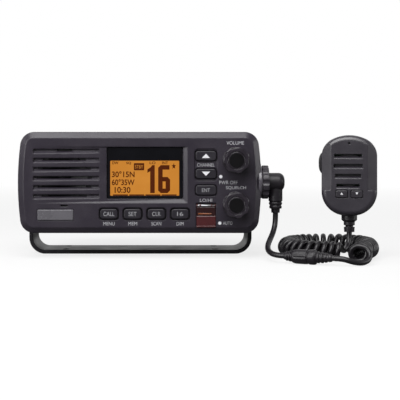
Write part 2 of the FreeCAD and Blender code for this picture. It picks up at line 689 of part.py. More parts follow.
def soften(part, radius, along=None, kind="Fillet", **places):
    """Round (or chamfer) the edges that pick_edges finds."""
    edges = pick_edges(part, along, **places)
    base = part.Tip
    feature = part.newObject("PartDesign::" + kind, kind.lower())
    feature.Base = (base, edges)
    bind(feature, "Radius" if kind == "Fillet" else "Size", radius)
    return feature


def repeat(part, feature, axis, length, count):
    """Repeat a feature in a row."""
    sketch = feature.Profile[0]
    pattern = part.newObject("PartDesign::LinearPattern", "row")
    pattern.Originals = [feature]
    pattern.Direction = (sketch, [axis])
    bind(pattern, "Length", length)
    pattern.Occurrences = count
    part.Tip = pattern
    return pattern


def repeat_round(part, feature, axis, count):
    """Repeat a feature round one of the sub-part's own axes."""
    origin_axis = [item for item in part.Origin.OriginFeatures if item.Role == axis + "_Axis"][0]
    pattern = part.newObject("PartDesign::PolarPattern", "ring")
    pattern.Originals = [feature]
    pattern.Axis = (origin_axis, [""])
    pattern.Angle = 360
    pattern.Occurrences = count
    part.Tip = pattern
    return pattern


def place(part, x, y, z):
    """Put a sub-part that was drawn about its own origin where it belongs."""
    for axis, value in zip("xyz", (x, y, z)):
        bind(part, "Placement.Base." + axis, value)


# ---------------------------------------------------------------- shared places
pivot = d.pivot_height
half_chassis = d.chassis_width / 2
boss_face = half_chassis + d.side_boss
arm_inner = boss_face + d.tilt_washer
arm_outer = arm_inner + d.bracket_plate
face = -d.face_out
face_inner = face + d.face_wall
panel_back = face + d.panel_depth
flange_front = panel_back - d.flange_sheet
gasket_front = flange_front - d.gasket_sheet
board_front = face + d.board_back
board_rear = board_front + d.board_sheet
stud_bore = d.stud_width + d.running * 2
shaft_bore = d.shaft_width + d.running * 2
SIDES = (("left", -1), ("right", 1))
panel_screw_x = d.panel_width / 2 - d.panel_screw_inset
panel_screws = [(panel_screw_x * side, pivot + d.panel_screw_z * end)
                for side in (-1, 1) for end in (-1, 1)]

# ---------------------------------------------------------------- mounting bracket
bracket = body("mounting_bracket")
arm_top = pivot + d.arm_rise
pad(bracket, "XZ", -d.bracket_depth / 2, d.bracket_depth / 2, shape(
    (-arm_outer, 0), (arm_outer, 0), (arm_outer, arm_top), (arm_inner, arm_top),
    (arm_inner, d.bracket_plate), (-arm_inner, d.bracket_plate), (-arm_inner, arm_top),
    (-arm_outer, arm_top)))
soften(bracket, d.bracket_bend, along="y", x=arm_outer, z=0)
soften(bracket, d.bracket_bend - d.bracket_plate, along="y", x=arm_inner, z=d.bracket_plate)
soften(bracket, d.arm_round, along="x", y=d.bracket_depth / 2, z=arm_top)
cut(bracket, "XY", 0, d.bracket_plate, *[
    disc(d.hole_span_x / 2 * side, d.hole_span_y / 2 * end, d.base_hole)
    for side in (-1, 1) for end in (-1, 1)])
cut(bracket, "YZ", -arm_outer, arm_outer, disc(0, pivot, stud_bore))
soften(bracket, d.bracket_edge, along="x", z=d.bracket_plate, y=d.bracket_depth / 2)

washers = body("tilt_washers")
washers.AllowCompound = True
washer_ring = (disc(0, pivot, d.boss_width), disc(0, pivot, stud_bore))
pad(washers, "YZ", boss_face + d.face_gap, arm_inner, *washer_ring)
pad(washers, "YZ", -arm_inner, -boss_face - d.face_gap, *washer_ring)

# ---------------------------------------------------------------- clamp knobs and their studs
CLAMP_LOBES = 6
clamp_start = arm_outer + d.face_gap
clamp_end = clamp_start + d.clamp_length
for side_name, side in SIDES:
    knob = body(side_name + "_clamp_knob")
    pad(knob, "YZ", 0, d.clamp_length, disc(0, 0, d.clamp_width))
    scallop = cut(knob, "YZ", d.clamp_flange, d.clamp_length, disc(
        d.clamp_width / 2 + d.scallop_out, 0, d.clamp_scallop))
    repeat_round(knob, scallop, "X", CLAMP_LOBES)
    cut(knob, "YZ", 0, d.clamp_socket, disc(0, 0, d.stud_width))
    knob.Placement.Rotation = FreeCAD.Rotation(Vector(0, 0, 1), 0 if side > 0 else 180)
    place(knob, clamp_start * side, 0, pivot)
    stud = body(side_name + "_clamp_stud")
    pad(stud, "YZ", 0, clamp_start + d.clamp_socket - boss_face + d.insert_length, disc(0, 0, d.stud_width))
    soften(stud, d.stud_chamfer, x=0, kind="Chamfer")
    stud.Placement.Rotation = knob.Placement.Rotation
    place(stud, (boss_face - d.insert_length) * side, 0, pivot)

# ---------------------------------------------------------------- chassis
FIN_COUNT = 12
chassis_foot = pivot - d.chassis_drop
chassis_rim = pivot + d.chassis_rise
chassis_rear_inner = d.chassis_back - d.chassis_wall
board_low = chassis_foot + d.board_stand
board_top = board_low + d.board_sheet
column_x = half_chassis - d.chassis_wall - d.column_width / 2
column_front = panel_back + d.column_width
column_rear = chassis_rear_inner - d.column_width / 2
board_post_x = column_x - d.column_width
cover_screws = [(column_x * side, y) for side in (-1, 1) for y in (column_front, column_rear)]
board_screws = [(board_post_x * side, y) for side in (-1, 1) for y in (column_front, column_rear)]
rear_x = d.rear_inset - half_chassis
antenna_place = (rear_x, pivot + d.antenna_z)
inlet_place = (rear_x, pivot + d.inlet_z)
chassis = body("chassis")
pad(chassis, "XZ", panel_back, d.chassis_back, span(-half_chassis, half_chassis, chassis_foot, chassis_rim))
soften(chassis, d.chassis_corner, along="y", x=half_chassis, z=chassis_foot)
cut(chassis, "XY", chassis_foot + d.chassis_wall, chassis_rim, span(
    -half_chassis + d.chassis_wall, half_chassis - d.chassis_wall, panel_back, chassis_rear_inner))
pad(chassis, "XZ", flange_front, panel_back, bowed(d.panel_wall + d.fit))
window_side = half_chassis - d.window_margin
cut(chassis, "XZ", flange_front, panel_back, span(
    -window_side, window_side, pivot - d.window_z, pivot + d.window_z))
pad(chassis, "XY", chassis_foot + d.chassis_wall / 2, chassis_rim, *[
    pad_shape(x, y, d.column_width, d.column_width, d.column_corner) for x, y in cover_screws])
pad(chassis, "XY", chassis_foot + d.chassis_wall / 2, board_low, *discs(board_screws, d.post_width))
pad(chassis, "YZ", -boss_face, -half_chassis + d.chassis_wall, disc(0, pivot, d.boss_width))
pad(chassis, "YZ", half_chassis - d.chassis_wall, boss_face, disc(0, pivot, d.boss_width))
insert_end = boss_face - d.insert_length
insert_boss = disc(0, pivot, d.insert_width + d.insert_wall * 2)
pad(chassis, "YZ", -half_chassis + d.chassis_wall, -insert_end, insert_boss)
pad(chassis, "YZ", insert_end, half_chassis - d.chassis_wall, insert_boss)
cut(chassis, "YZ", -boss_face, boss_face, disc(0, pivot, d.insert_width))
fin_start = rear_x + d.antenna_plate / 2 + d.fin_gap
fin = pad(chassis, "XZ", d.chassis_back - d.fin_margin, d.chassis_back + d.fin_reach, span(
    fin_start, fin_start + d.fin_sheet, chassis_foot + d.fin_margin, chassis_rim - d.fin_margin))
repeat(chassis, fin, "H_Axis", half_chassis - d.fin_side - d.fin_sheet - fin_start, FIN_COUNT)
cut(chassis, "XZ", chassis_rear_inner, d.chassis_back, disc(*antenna_place, d.rear_hole), disc(
    *inlet_place, d.rear_hole))
cut(chassis, "XZ", flange_front, panel_back, *discs(panel_screws, d.screw_width))
cut(chassis, "XY", chassis_rim - d.screw_hole, chassis_rim, *discs(cover_screws, d.screw_width))
cut(chassis, "XY", board_low - d.screw_hole, board_low, *discs(board_screws, d.screw_width))

cover = body("top_cover")
cover_top = chassis_rim + d.cover_sheet
pad(cover, "XY", chassis_rim, cover_top, span(-half_chassis, half_chassis, panel_back, d.chassis_back))
soften(cover, d.cover_edge, along="y", x=half_chassis, z=cover_top)
RIB_COUNT = 7
rib = pad(cover, "XY", cover_top - d.sunk_root, cover_top + d.rib_rise, span(
    -d.rib_first, -d.rib_first + d.rib_sheet, panel_back + d.rib_front, d.chassis_back - d.rib_back))
repeat(cover, rib, "H_Axis", d.rib_first * 2 - d.rib_sheet, RIB_COUNT)
cut(cover, "XY", chassis_rim, cover_top, *discs(cover_screws, d.screw_width))

inserts = body("threaded_inserts")
inserts.AllowCompound = True
pad(inserts, "YZ", -boss_face, -insert_end, disc(0, pivot, d.insert_width), disc(0, pivot, stud_bore))
pad(inserts, "YZ", insert_end, boss_face, disc(0, pivot, d.insert_width), disc(0, pivot, stud_bore))

# ---------------------------------------------------------------- boards and power stage
board = body("main_board")
board_half = column_x - d.column_width / 2 - d.board_edge
board_front_edge = panel_back + d.board_inset
board_rear_edge = chassis_rear_inner - d.board_edge
socket_tail = chassis_rear_inner - d.rear_tail
pad(board, "XY", board_low, board_top, span(-board_half, board_half, board_front_edge, board_rear_edge))
cut(board, "XY", board_low, board_top, span(
    rear_x - d.rear_hole / 2 - d.board_clear, rear_x + d.rear_hole / 2 + d.board_clear,
    socket_tail - d.board_clear, board_rear_edge))
cut(board, "XY", board_low, board_top, *discs(board_screws, d.screw_width))

can = body("shield_can")
can_side = d.can_width / 2
can_end = d.can_depth / 2
pad(can, "XY", board_top, board_top + d.can_height, span(-can_side, can_side, -can_end, can_end))
cut(can, "XY", board_top, board_top + d.can_height - d.can_wall, span(
    -can_side + d.can_wall, can_side - d.can_wall, -can_end + d.can_wall, can_end - d.can_wall))

power = body("power_module")
pad(power, "XY", board_top, board_top + d.power_height, span(
    -d.power_width / 2, d.power_width / 2, chassis_rear_inner - d.power_depth, chassis_rear_inner))

# ---------------------------------------------------------------- rear sockets
antenna = body("antenna_socket")
antenna_end = d.chassis_back + d.antenna_length
contact_start = d.chassis_back + d.plate_sheet + d.antenna_floor
pad(antenna, "XZ", d.chassis_back, d.chassis_back + d.plate_sheet, pad_shape(
    *antenna_place, d.antenna_plate, d.antenna_plate, d.plate_corner))
pad(antenna, "XZ", socket_tail, d.chassis_back, disc(*antenna_place, d.rear_hole))
pad(antenna, "XZ", d.chassis_back + d.plate_sheet, antenna_end, disc(*antenna_place, d.antenna_width))
cut(antenna, "XZ", contact_start, antenna_end, disc(*antenna_place, d.antenna_bore))
pad(antenna, "XZ", contact_start - d.sunk_root, antenna_end - d.contact_short, disc(
    *antenna_place, d.contact_width))
cut(antenna, "XZ", contact_start, antenna_end - d.contact_short, disc(*antenna_place, d.contact_bore))

inlet = body("dc_inlet")
inlet_end = d.chassis_back + d.inlet_length
inlet_floor = d.chassis_back + d.plate_sheet
pad(inlet, "XZ", d.chassis_back, inlet_end, pad_shape(
    *inlet_place, d.inlet_width, d.inlet_height, d.plate_corner))
pad(inlet, "XZ", socket_tail, d.chassis_back, disc(*inlet_place, d.rear_hole))
cut(inlet, "XZ", inlet_floor, inlet_end, pad_shape(
    *inlet_place, d.inlet_width - d.inlet_wall * 2, d.inlet_height - d.inlet_wall * 2, d.plate_corner / 2))
pad(inlet, "XZ", inlet_floor - d.sunk_root, d.chassis_back + d.supply_reach, *[
    disc(rear_x + d.pin_spacing / 2 * side, inlet_place[1], d.supply_pin) for side in (-1, 1)])

# ---------------------------------------------------------------- front panel
LOUVRE_COUNT = 6
knob_x = d.panel_width / 2 - d.knob_inset
socket_y = face + d.socket_back
socket_face = d.panel_width / 2 + d.socket_proud
socket_seat = d.panel_width / 2 - d.socket_sink
lens_front = face + d.sink_deep
lens_back = lens_front + d.lens_sheet
pin_y = face + d.pin_deep
pin_z = pivot + d.flap_top
flap_floor = face + d.flap_seat
port_place = (d.flap_x, pivot + d.port_z)
row_z = pivot + d.key_row_z
row_keys = [d.key_row_x + d.key_pitch * step for step in (-1.5, -0.5, 0.5, 1.5)]
nav_keys = [pivot + d.up_z, pivot + d.down_z, pivot + d.enter_z]

panel = body("front_panel")
pad(panel, "XZ", face, panel_back, bowed(0))
bevel_edges = pick_edges(panel, y=face)
blank = panel.Tip
bevel = panel.newObject("PartDesign::Chamfer", "bevel")
bevel.Base = (blank, bevel_edges)
bevel.ChamferType = 1
bind(bevel, "Size", d.bevel_back)
bind(bevel, "Size2", d.bevel_in)
soften(panel, d.face_rim, y=face)
soften(panel, d.face_rim, y=face + d.bevel_back)
soften(panel, d.face_rim, y=panel_back)
cut(panel, "XZ", face_inner, gasket_front, bowed(d.panel_wall + d.gasket_step))
cut(panel, "XZ", gasket_front, panel_back, bowed(d.panel_wall))
pad(panel, "XZ", face_inner - d.sunk_root, gasket_front, *discs(panel_screws, d.post_width))
cut(panel, "XZ", gasket_front - d.screw_hole, gasket_front, *discs(panel_screws, d.screw_width))

# Louvres: grooves with a sharp upper edge and a sloped lip below, open inside the speaker circle.
low_slot = pivot + d.louvre_low
groove = cut(panel, "YZ", -d.sink_left, d.louvre_end, shape(
    (face - d.groove_out, low_slot + d.louvre_slot / 2),
    (face + d.louvre_deep, low_slot + d.louvre_slot / 2),
    (face + d.louvre_deep, low_slot - d.louvre_slot / 2),
    (face - d.groove_out, low_slot - d.louvre_slot / 2 - d.louvre_lip * d.lip_slope)))
repeat(panel, groove, "V_Axis", d.louvre_pitch * (LOUVRE_COUNT - 1), LOUVRE_COUNT)
slots = []
for step in range(LOUVRE_COUNT):
    slot_z = d.louvre_low + d.louvre_pitch * step
    off = slot_z - d.grille_z
    near = off - d.louvre_slot / 2 if off.number > 0 else off + d.louvre_slot / 2
    reach = root(d.grille_radius * d.grille_radius - near * near)
    slots.append(span(d.grille_x - reach, d.grille_x + reach, pivot + slot_z - d.louvre_slot / 2,
                      pivot + slot_z + d.louvre_slot / 2))
cut(panel, "XZ", face, face_inner, *slots)
cut(panel, "XZ", face, face_inner, pad_shape(
    d.grille_x, pivot + d.drain_z, d.drain_width, d.drain_height, d.drain_height * 0.4))

# Openings: blank plate, display window on its ledge, keys, knob bushes.
cut(panel, "XZ", face, face + d.plate_seat, pad_shape(
    d.plate_x, pivot + d.plate_z, d.plate_width + d.fit * 2, d.plate_height + d.fit * 2, d.hole_corner))
lens_place = (d.lens_x, pivot + d.lens_z)
cut(panel, "XZ", face, lens_back, pad_shape(
    *lens_place, d.lens_width + d.fit * 2, d.lens_height + d.fit * 2, d.hole_corner))
cut(panel, "XZ", lens_back, face_inner, pad_shape(
    *lens_place, d.lens_width - d.lens_ledge * 2, d.lens_height - d.lens_ledge * 2, d.hole_corner))
cut(panel, "XZ", face, face_inner, *[
    pad_shape(x, row_z, d.key_width + d.key_margin * 2, d.key_height + d.key_margin * 2,
              d.key_corner + d.key_margin / 2) for x in row_keys])
cut(panel, "XZ", face, face + d.nav_sink, pad_shape(
    d.nav_x, pivot + (d.up_z + d.down_z) / 2, d.nav_width + d.nav_extra * 2,
    d.up_z - d.down_z + d.key_height + d.nav_rim * 2, d.key_corner + d.nav_extra))
cut(panel, "XZ", face, face_inner, *[
    pad_shape(d.nav_x, z, d.nav_width + d.nav_margin * 2, d.key_height + d.nav_margin * 2,
              d.key_corner + d.nav_margin / 2) for z in nav_keys])
cut(panel, "XZ", face, face_inner, *[
    disc(knob_x, pivot + z, d.bush_width + d.fit * 2) for z in (d.volume_z, d.squelch_z)])

# Sunk seat of the port flap, the groove for its barrel, the pin holes and the socket's window.
flap_half = d.flap_width / 2 + d.flap_side
pin_reach = flap_half + d.pin_seat
seat_top = pin_z + d.flap_barrel / 2 + d.seat_over
cut(panel, "XZ", face, flap_floor, span(
    d.flap_x - flap_half, d.flap_x + flap_half, pin_z - d.flap_drop - d.seat_under, seat_top))
cut(panel, "XZ", face, pin_y + d.flap_barrel / 2 + d.running, span(
    d.flap_x - flap_half, d.flap_x + flap_half, pin_z - d.flap_barrel / 2 - d.barrel_play, seat_top))
cut(panel, "YZ", d.flap_x - pin_reach, d.flap_x + pin_reach, disc(pin_y, pin_z, d.pin_width))
cut(panel, "XZ", face, face_inner, pad_shape(
    *port_place, d.port_width + d.fit * 2, d.port_height + d.fit * 2, d.port_corner))

# Socket hole and its flat seat in the right-hand wall.
cut(panel, "YZ", socket_seat - d.socket_bore_deep, socket_seat, disc(
    socket_y, pivot, d.socket_width + d.fit * 2))
cut(panel, "YZ", socket_seat, socket_face, disc(socket_y, pivot, d.socket_flange + d.fit * 2))

# Sunk field: a wedge that is flush at the left and deepest beside the display, bevelled below
# and at the right.
panel.Label = "panel_blank"
nodes.remove(panel)
sink = doc.addObject("Part::Wedge", "sunk_field")
for side, value in (
        ("Xmin", -d.sink_left), ("Xmax", d.sink_right), ("X2min", d.sink_right - d.sink_bevel),
        ("X2max", d.sink_right - d.sink_bevel), ("Zmin", pivot + d.sink_low),
        ("Zmax", pivot + d.sink_high), ("Z2min", pivot + d.sink_low + d.sink_bevel),
        ("Z2max", pivot + d.sink_high - d.sink_top_slope), ("Ymin", face), ("Ymax", face + d.sink_deep)):
    bind(sink, side, value)
front_panel = doc.addObject("Part::Cut", "front_panel")
front_panel.Base = panel
front_panel.Tool = sink
front_panel.Label = "front_panel"
nodes.append(front_panel)

gasket = body("front_gasket")
pad(gasket, "XZ", gasket_front, flange_front, bowed(d.panel_wall + d.fit), bowed(
    d.panel_wall + d.gasket_step))
pad(gasket, "XZ", gasket_front, flange_front, *discs(panel_screws, d.post_width - d.fit * 2))
cut(gasket, "XZ", gasket_front, flange_front, *discs(panel_screws, d.screw_width))

blank_plate = body("blank_plate")
pad(blank_plate, "XZ", face - d.plate_proud, face + d.plate_seat, pad_shape(
    d.plate_x, pivot + d.plate_z, d.plate_width, d.plate_height, d.hole_corner - d.fit))
soften(blank_plate, d.plate_chamfer, kind="Chamfer", y=face - d.plate_proud)

# ---------------------------------------------------------------- display
lens = body("display_window")
pad(lens, "XZ", lens_front, lens_back, pad_shape(
    *lens_place, d.lens_width, d.lens_height, d.hole_corner - d.fit))
glass_front = face_inner + d.face_gap
glass = body("display_glass")
pad(glass, "XZ", glass_front, glass_front + d.glass_sheet, pad_shape(
    *lens_place, d.lens_width, d.lens_height, d.glass_corner))
light = body("backlight")
pad(light, "XZ", glass_front + d.glass_sheet, board_front, pad_shape(
    *lens_place, d.lens_width, d.lens_height, d.glass_corner))

# ---------------------------------------------------------------- front board and keypad
board_reach = knob_x + d.encoder_width / 2 + d.board_edge
front_board = body("front_board")
pad(front_board, "XZ", board_front, board_rear, span(
    d.board_left, board_reach, pivot - d.panel_height / 2 + d.board_margin,
    pivot + d.panel_height / 2 - d.board_margin))

mat_front = board_front - d.mat_sheet
flange_start = face_inner + d.face_gap
flange_end = flange_start + d.flange_thick
stem_front = mat_front - d.key_travel - d.mat_play
row_flange = d.key_margin + d.key_flange
nav_flange = d.nav_margin + d.key_flange
mat = body("keypad_mat")
row_left = row_keys[0] - d.key_width / 2 - row_flange
link_left = d.nav_x - d.nav_width / 2 - nav_flange - d.mat_left
link_right = d.flap_x - d.port_width / 2 - d.mat_rim
row_foot = row_z - d.key_height / 2 - row_flange
nav_top = nav_keys[0] + d.key_height / 2 + nav_flange
pad(mat, "XZ", mat_front, board_front, span(
    row_left, link_right, row_foot, row_z + d.key_height / 2 + d.mat_rim))
pad(mat, "XZ", mat_front, board_front, span(link_left, link_right, row_foot, nav_top))
pad(mat, "XZ", mat_front, board_front, span(
    link_left, d.nav_x + d.nav_width / 2 + nav_flange, nav_keys[2] - d.key_height / 2 - d.mat_rim,
    nav_top))


def key(label, x, z, width, flange):
    """A panel key: round-edged cap, flange behind the wall and a stem towards the mat."""
    item = body(label)
    pad(item, "XZ", face - d.key_proud, flange_start, pad_shape(x, z, width, d.key_height, d.key_corner))
    soften(item, d.key_rim, y=face - d.key_proud)
    pad(item, "XZ", flange_start, flange_end, pad_shape(
        x, z, width + flange * 2, d.key_height + flange * 2, d.key_corner))
    pad(item, "XZ", flange_end, stem_front, pad_shape(
        x, z, width - d.stem_side * 2, d.key_height - d.stem_end * 2, d.stem_corner))


for number, x in enumerate(row_keys, start=1):
    key(f"function_key_{number}", x, row_z, d.key_width, row_flange)
for label, z in zip(("up_key", "down_key", "enter_key"), nav_keys):
    key(label, d.nav_x, z, d.nav_width, nav_flange)

# ---------------------------------------------------------------- encoders, shafts and knobs
KNOB_LOBES = 7
encoder_front = face_inner + d.bush_back
bush_front = face + d.bush_front
shaft_front = face - d.knob_length + d.shaft_seat
encoders = body("encoders")
encoders.AllowCompound = True
knob_places = [(knob_x, pivot + d.volume_z), (knob_x, pivot + d.squelch_z)]
pad(encoders, "XZ", encoder_front, board_front, *[
    pad_shape(x, z, d.encoder_width, d.encoder_width, d.encoder_corner) for x, z in knob_places])
pad(encoders, "XZ", bush_front, encoder_front, *discs(knob_places, d.bush_width))
cut(encoders, "XZ", bush_front, board_front - d.encoder_floor, *discs(knob_places, shaft_bore))
for label, (x, z) in zip(("volume", "squelch"), knob_places):
    shaft = body(label + "_shaft")
    pad(shaft, "XZ", shaft_front, board_front - d.encoder_floor - d.shaft_play, disc(x, z, d.shaft_width))
    knob = body(label + "_knob")
    knob_top = face - d.knob_length
    pad(knob, "XZ", knob_top, face - d.knob_play, disc(0, 0, d.knob_width))
    soften(knob, d.knob_rim, y=knob_top)
    lobe = cut(knob, "XZ", knob_top, face - d.knob_play - d.knob_skirt, disc(
        d.knob_width / 2 + d.lobe_out, 0, d.lobe_width))
    repeat_round(knob, lobe, "Y", KNOB_LOBES)
    cut(knob, "XZ", knob_top, knob_top + d.cap_deep, disc(0, 0, d.knob_cap + d.cap_groove * 2), disc(
        0, 0, d.knob_cap))
    cut(knob, "XZ", shaft_front, face - d.knob_play, disc(0, 0, d.shaft_width))
    place(knob, x, 0, z)

# ---------------------------------------------------------------- port flap and data socket
flap = body("port_flap")
flap_front = pin_y - d.flap_barrel / 2
flap_sides = (d.flap_x - d.flap_width / 2, d.flap_x + d.flap_width / 2)
pad(flap, "XZ", flap_front, flap_front + d.flap_sheet, span(*flap_sides, pin_z - d.flap_drop, pin_z))
pad(flap, "YZ", *flap_sides, disc(pin_y, pin_z, d.flap_barrel))
cut(flap, "YZ", *flap_sides, disc(pin_y, pin_z, d.pin_width + d.running * 2))
cut(flap, "XZ", flap_front, pin_y + d.flap_barrel / 2, span(
    d.flap_x - d.flap_notch, d.flap_x + d.flap_notch,
    pin_z - d.flap_barrel / 2 - d.notch_play, pin_z + d.flap_barrel / 2))
pad(flap, "XZ", flap_front - d.flap_lip, flap_front, span(
    flap_sides[0] + d.lip_inset, flap_sides[1] - d.lip_inset,
    pin_z - d.flap_drop, pin_z - d.flap_drop + d.lip_height))

flap_pin = body("flap_pin")
pad(flap_pin, "YZ", d.flap_x - pin_reach, d.flap_x + pin_reach, disc(pin_y, pin_z, d.pin_width))

port = body("data_socket")
port_front = flap_floor + d.port_sink
port_back = board_front - d.port_floor
pad(port, "XZ", port_front, board_front, pad_shape(*port_place, d.port_width, d.port_height, d.port_round))
cut(port, "XZ", port_front, port_back, pad_shape(
    *port_place, d.port_width - d.port_wall * 2, d.port_height - d.port_wall * 2,
    d.port_round - d.port_wall / 2))
pad(port, "XZ", port_front + d.tongue_sink, port_back + d.sunk_root, span(
    port_place[0] - d.tongue_width / 2, port_place[0] + d.tongue_width / 2,
    port_place[1] - d.tongue_sheet / 2, port_place[1] + d.tongue_sheet / 2))

# ---------------------------------------------------------------- speaker
# Profiles are (distance from the axis, depth behind the panel wall).
speaker_place = (d.grille_x, 0, pivot + d.grille_z)
rim = d.speaker_width / 2
basket_back = face_inner + d.speaker_depth
FRAME_PROFILE = (
    (rim - 3.7, 0), (rim, 0), (rim, 1.6), (rim - 2.3, 1.6), (11.5, d.speaker_depth), (6.0, d.speaker_depth),
    (6.0, d.speaker_depth - 1.2), (10.6, d.speaker_depth - 1.2), (rim - 3.7, 0.8))
CONE_PROFILE = ((0, 5.6), (4.5, 6.1), (rim - 4.3, 0.9), (rim - 4.3, 0.1), (4.5, 5.3), (0, 4.8))
for label, profile in (("speaker_frame", FRAME_PROFILE), ("speaker_cone", CONE_PROFILE)):
    item = body(label)
    turn(item, "XY", "V_Axis", shape(*[(out, face_inner + deep) for out, deep in profile]))
    place(item, *speaker_place)
magnet = body("speaker_magnet")
pad(magnet, "XZ", basket_back, basket_back + d.magnet_length, disc(0, 0, d.magnet_width))
pad(magnet, "XZ", face_inner + d.pole_start, basket_back, disc(0, 0, d.pole_width))
place(magnet, *speaker_place)

# ---------------------------------------------------------------- screws of the radio
screws = body("radio_screws")
screws.AllowCompound = True
pad(screws, "XZ", panel_back, panel_back + d.head_sheet, *discs(panel_screws, d.head_width))
pad(screws, "XZ", gasket_front - d.screw_hole + d.screw_short, panel_back, *discs(
    panel_screws, d.screw_width))
for spots, top, foot in ((cover_screws, cover_top, chassis_rim), (board_screws, board_top, board_low)):
    pad(screws, "XY", top, top + d.head_sheet, *discs(spots, d.head_width))
    pad(screws, "XY", foot - d.screw_hole + d.screw_short, top, *discs(spots, d.screw_width))

# ---------------------------------------------------------------- microphone socket, plug and ring
nose_width = d.ring_width - d.ring_wall * 2
nose_bore = d.plug_width + d.fit * 2
socket = body("mic_socket")
pad(socket, "YZ", socket_seat, socket_face, disc(socket_y, pivot, d.socket_flange))
pad(socket, "YZ", socket_seat - d.socket_tail, socket_seat, disc(socket_y, pivot, d.socket_width))
pad(socket, "YZ", socket_face, socket_face + d.nose_length, disc(socket_y, pivot, nose_width))
cut(socket, "YZ", socket_face - d.plug_seat - d.face_gap, socket_face + d.nose_length, disc(
    socket_y, pivot, nose_bore))

RING_LOBES = 10
ring = body("coupling_ring")
pad(ring, "YZ", 0, d.ring_length, disc(0, 0, d.ring_width))
soften(ring, d.ring_rim, x=0)
soften(ring, d.ring_rim, x=d.ring_length)
dent = cut(ring, "YZ", 0, d.ring_length, disc(d.ring_width / 2 + d.dent_out, 0, d.dent_width))
repeat_round(ring, dent, "X", RING_LOBES)
cut(ring, "YZ", 0, d.nose_length, disc(0, 0, nose_width + d.running * 2))
cut(ring, "YZ", d.nose_length, d.ring_length, disc(0, 0, d.plug_width + d.running * 2))
place(ring, socket_face + d.ring_play, socket_y, pivot)

plug = body("mic_plug")
plug_x = socket_face + d.boot_x
pad(plug, "YZ", -d.boot_x - d.plug_seat, d.plug_reach - d.boot_x, disc(0, 0, d.plug_width))
soften(plug, d.plug_dome, x=d.plug_reach - d.boot_x)
# The boot's profile is (in from its radius, above its foot), with two grip rings at the end.
boot = d.boot_width / 2
BOOT_PROFILE = (
    (0, 9.0), (0.8, 8.2), (0.2, 7.4), (0.3, 6.4), (1.0, 5.6), (0.5, 4.8), (0.7, 3.2), (1.9, 3.0), (2.1, 0))
turn(plug, "XZ", "V_Axis", shape(
    (0, 0), (boot, 0), *[(boot - inward, rise - d.boot_drop) for inward, rise in BOOT_PROFILE],
    (0, -d.boot_drop)))
place(plug, plug_x, socket_y, pivot)

# ---------------------------------------------------------------- inline connector
CONNECTOR_START = (104.0, -88.0)
CONNECTOR_END = (136.0, -104.0)
CONNECTOR_RADIUS = 5.4
connector_run = Vector(CONNECTOR_END[0] - CONNECTOR_START[0], CONNECTOR_END[1] - CONNECTOR_START[1], 0)
connector_length = connector_run.Length
RIB_COUNT_RELIEF = 4
RIB_STEP = 2.0
RIB_WIDTH = 1.1
RIB_RADIUS = 3.8
RIB_ROOT = 3.0
RIB_END = 1.4
ribs = []
for index in range(RIB_COUNT_RELIEF, 0, -1):
    start = connector_length - RIB_END - RIB_STEP * index
    ribs += [(start, RIB_RADIUS), (start + RIB_WIDTH, RIB_RADIUS), (start + RIB_WIDTH, RIB_ROOT),
             (start + RIB_STEP, RIB_ROOT)]
# The profile is (along the axis, radius): a tapered boot, the body, the collar and the ribbed relief.
CONNECTOR_PROFILE = (
    (0, 0), (0, 2.7), (1, 3.3), (8, 3.6), (9, 4.5), (17, 4.5), (17.5, CONNECTOR_RADIUS),
    (22.5, CONNECTOR_RADIUS), (23, 4.4), (25.4, 4.1), *ribs, (connector_length, 2.8), (connector_length, 0))
connector = body("inline_connector")
turn(connector, "XY", "H_Axis", shape(*CONNECTOR_PROFILE))
connector.Placement = FreeCAD.Placement(
    Vector(*CONNECTOR_START, CONNECTOR_RADIUS), FreeCAD.Rotation(Vector(1, 0, 0), connector_run))

# ---------------------------------------------------------------- cords
# Routes are chosen by hand: straight runs joined by tangent arcs.
LEAD_ROUTE = [(101.8, -50.6, 33.9), (101.8, -50.6, 27.0), (100.0, -54.4, 20.4), (96.8, -61.0, 15.0),
              (94.0, -69.2, 11.2), (93.6, -77.0, 7.6), (97.7, -84.85, 5.4), (104.0, -88.0, 5.4)]
FEED_ROUTE = [(136.0, -104.0, 5.4), (142.7, -107.35, 5.4), (151.2, -107.2, 3.6), (158.4, -101.8, 3.6),
              (161.4, -94.4, 6.4)]
COIL_ROUTE = [(155.8, -95.0, 7.6), (160.2, -80.0, 7.6), (168.5, -64.0, 7.6), (173.5, -46.0, 7.6),
              (171.5, -27.0, 7.6), (159.0, -13.0, 7.6), (141.0, -9.5, 7.6), (123.5, -17.0, 7.6),
              (113.0, -33.0, 7.6), (110.8, -52.0, 7.6), (118.0, -67.0, 7.6), (131.0, -75.6, 7.6),
              (145.0, -77.8, 7.6)]
TAIL_ROUTE = [(156.7, -53.0, 19.7), (156.7, -53.0, 14.7), (155.4, -55.4, 10.0), (153.1, -59.6, 7.4),
              (149.6, -67.4, 6.6), (144.4, -75.4, 7.4)]
MIN_TURN = math.radians(1)
SHARE_OF_RUN = 0.45


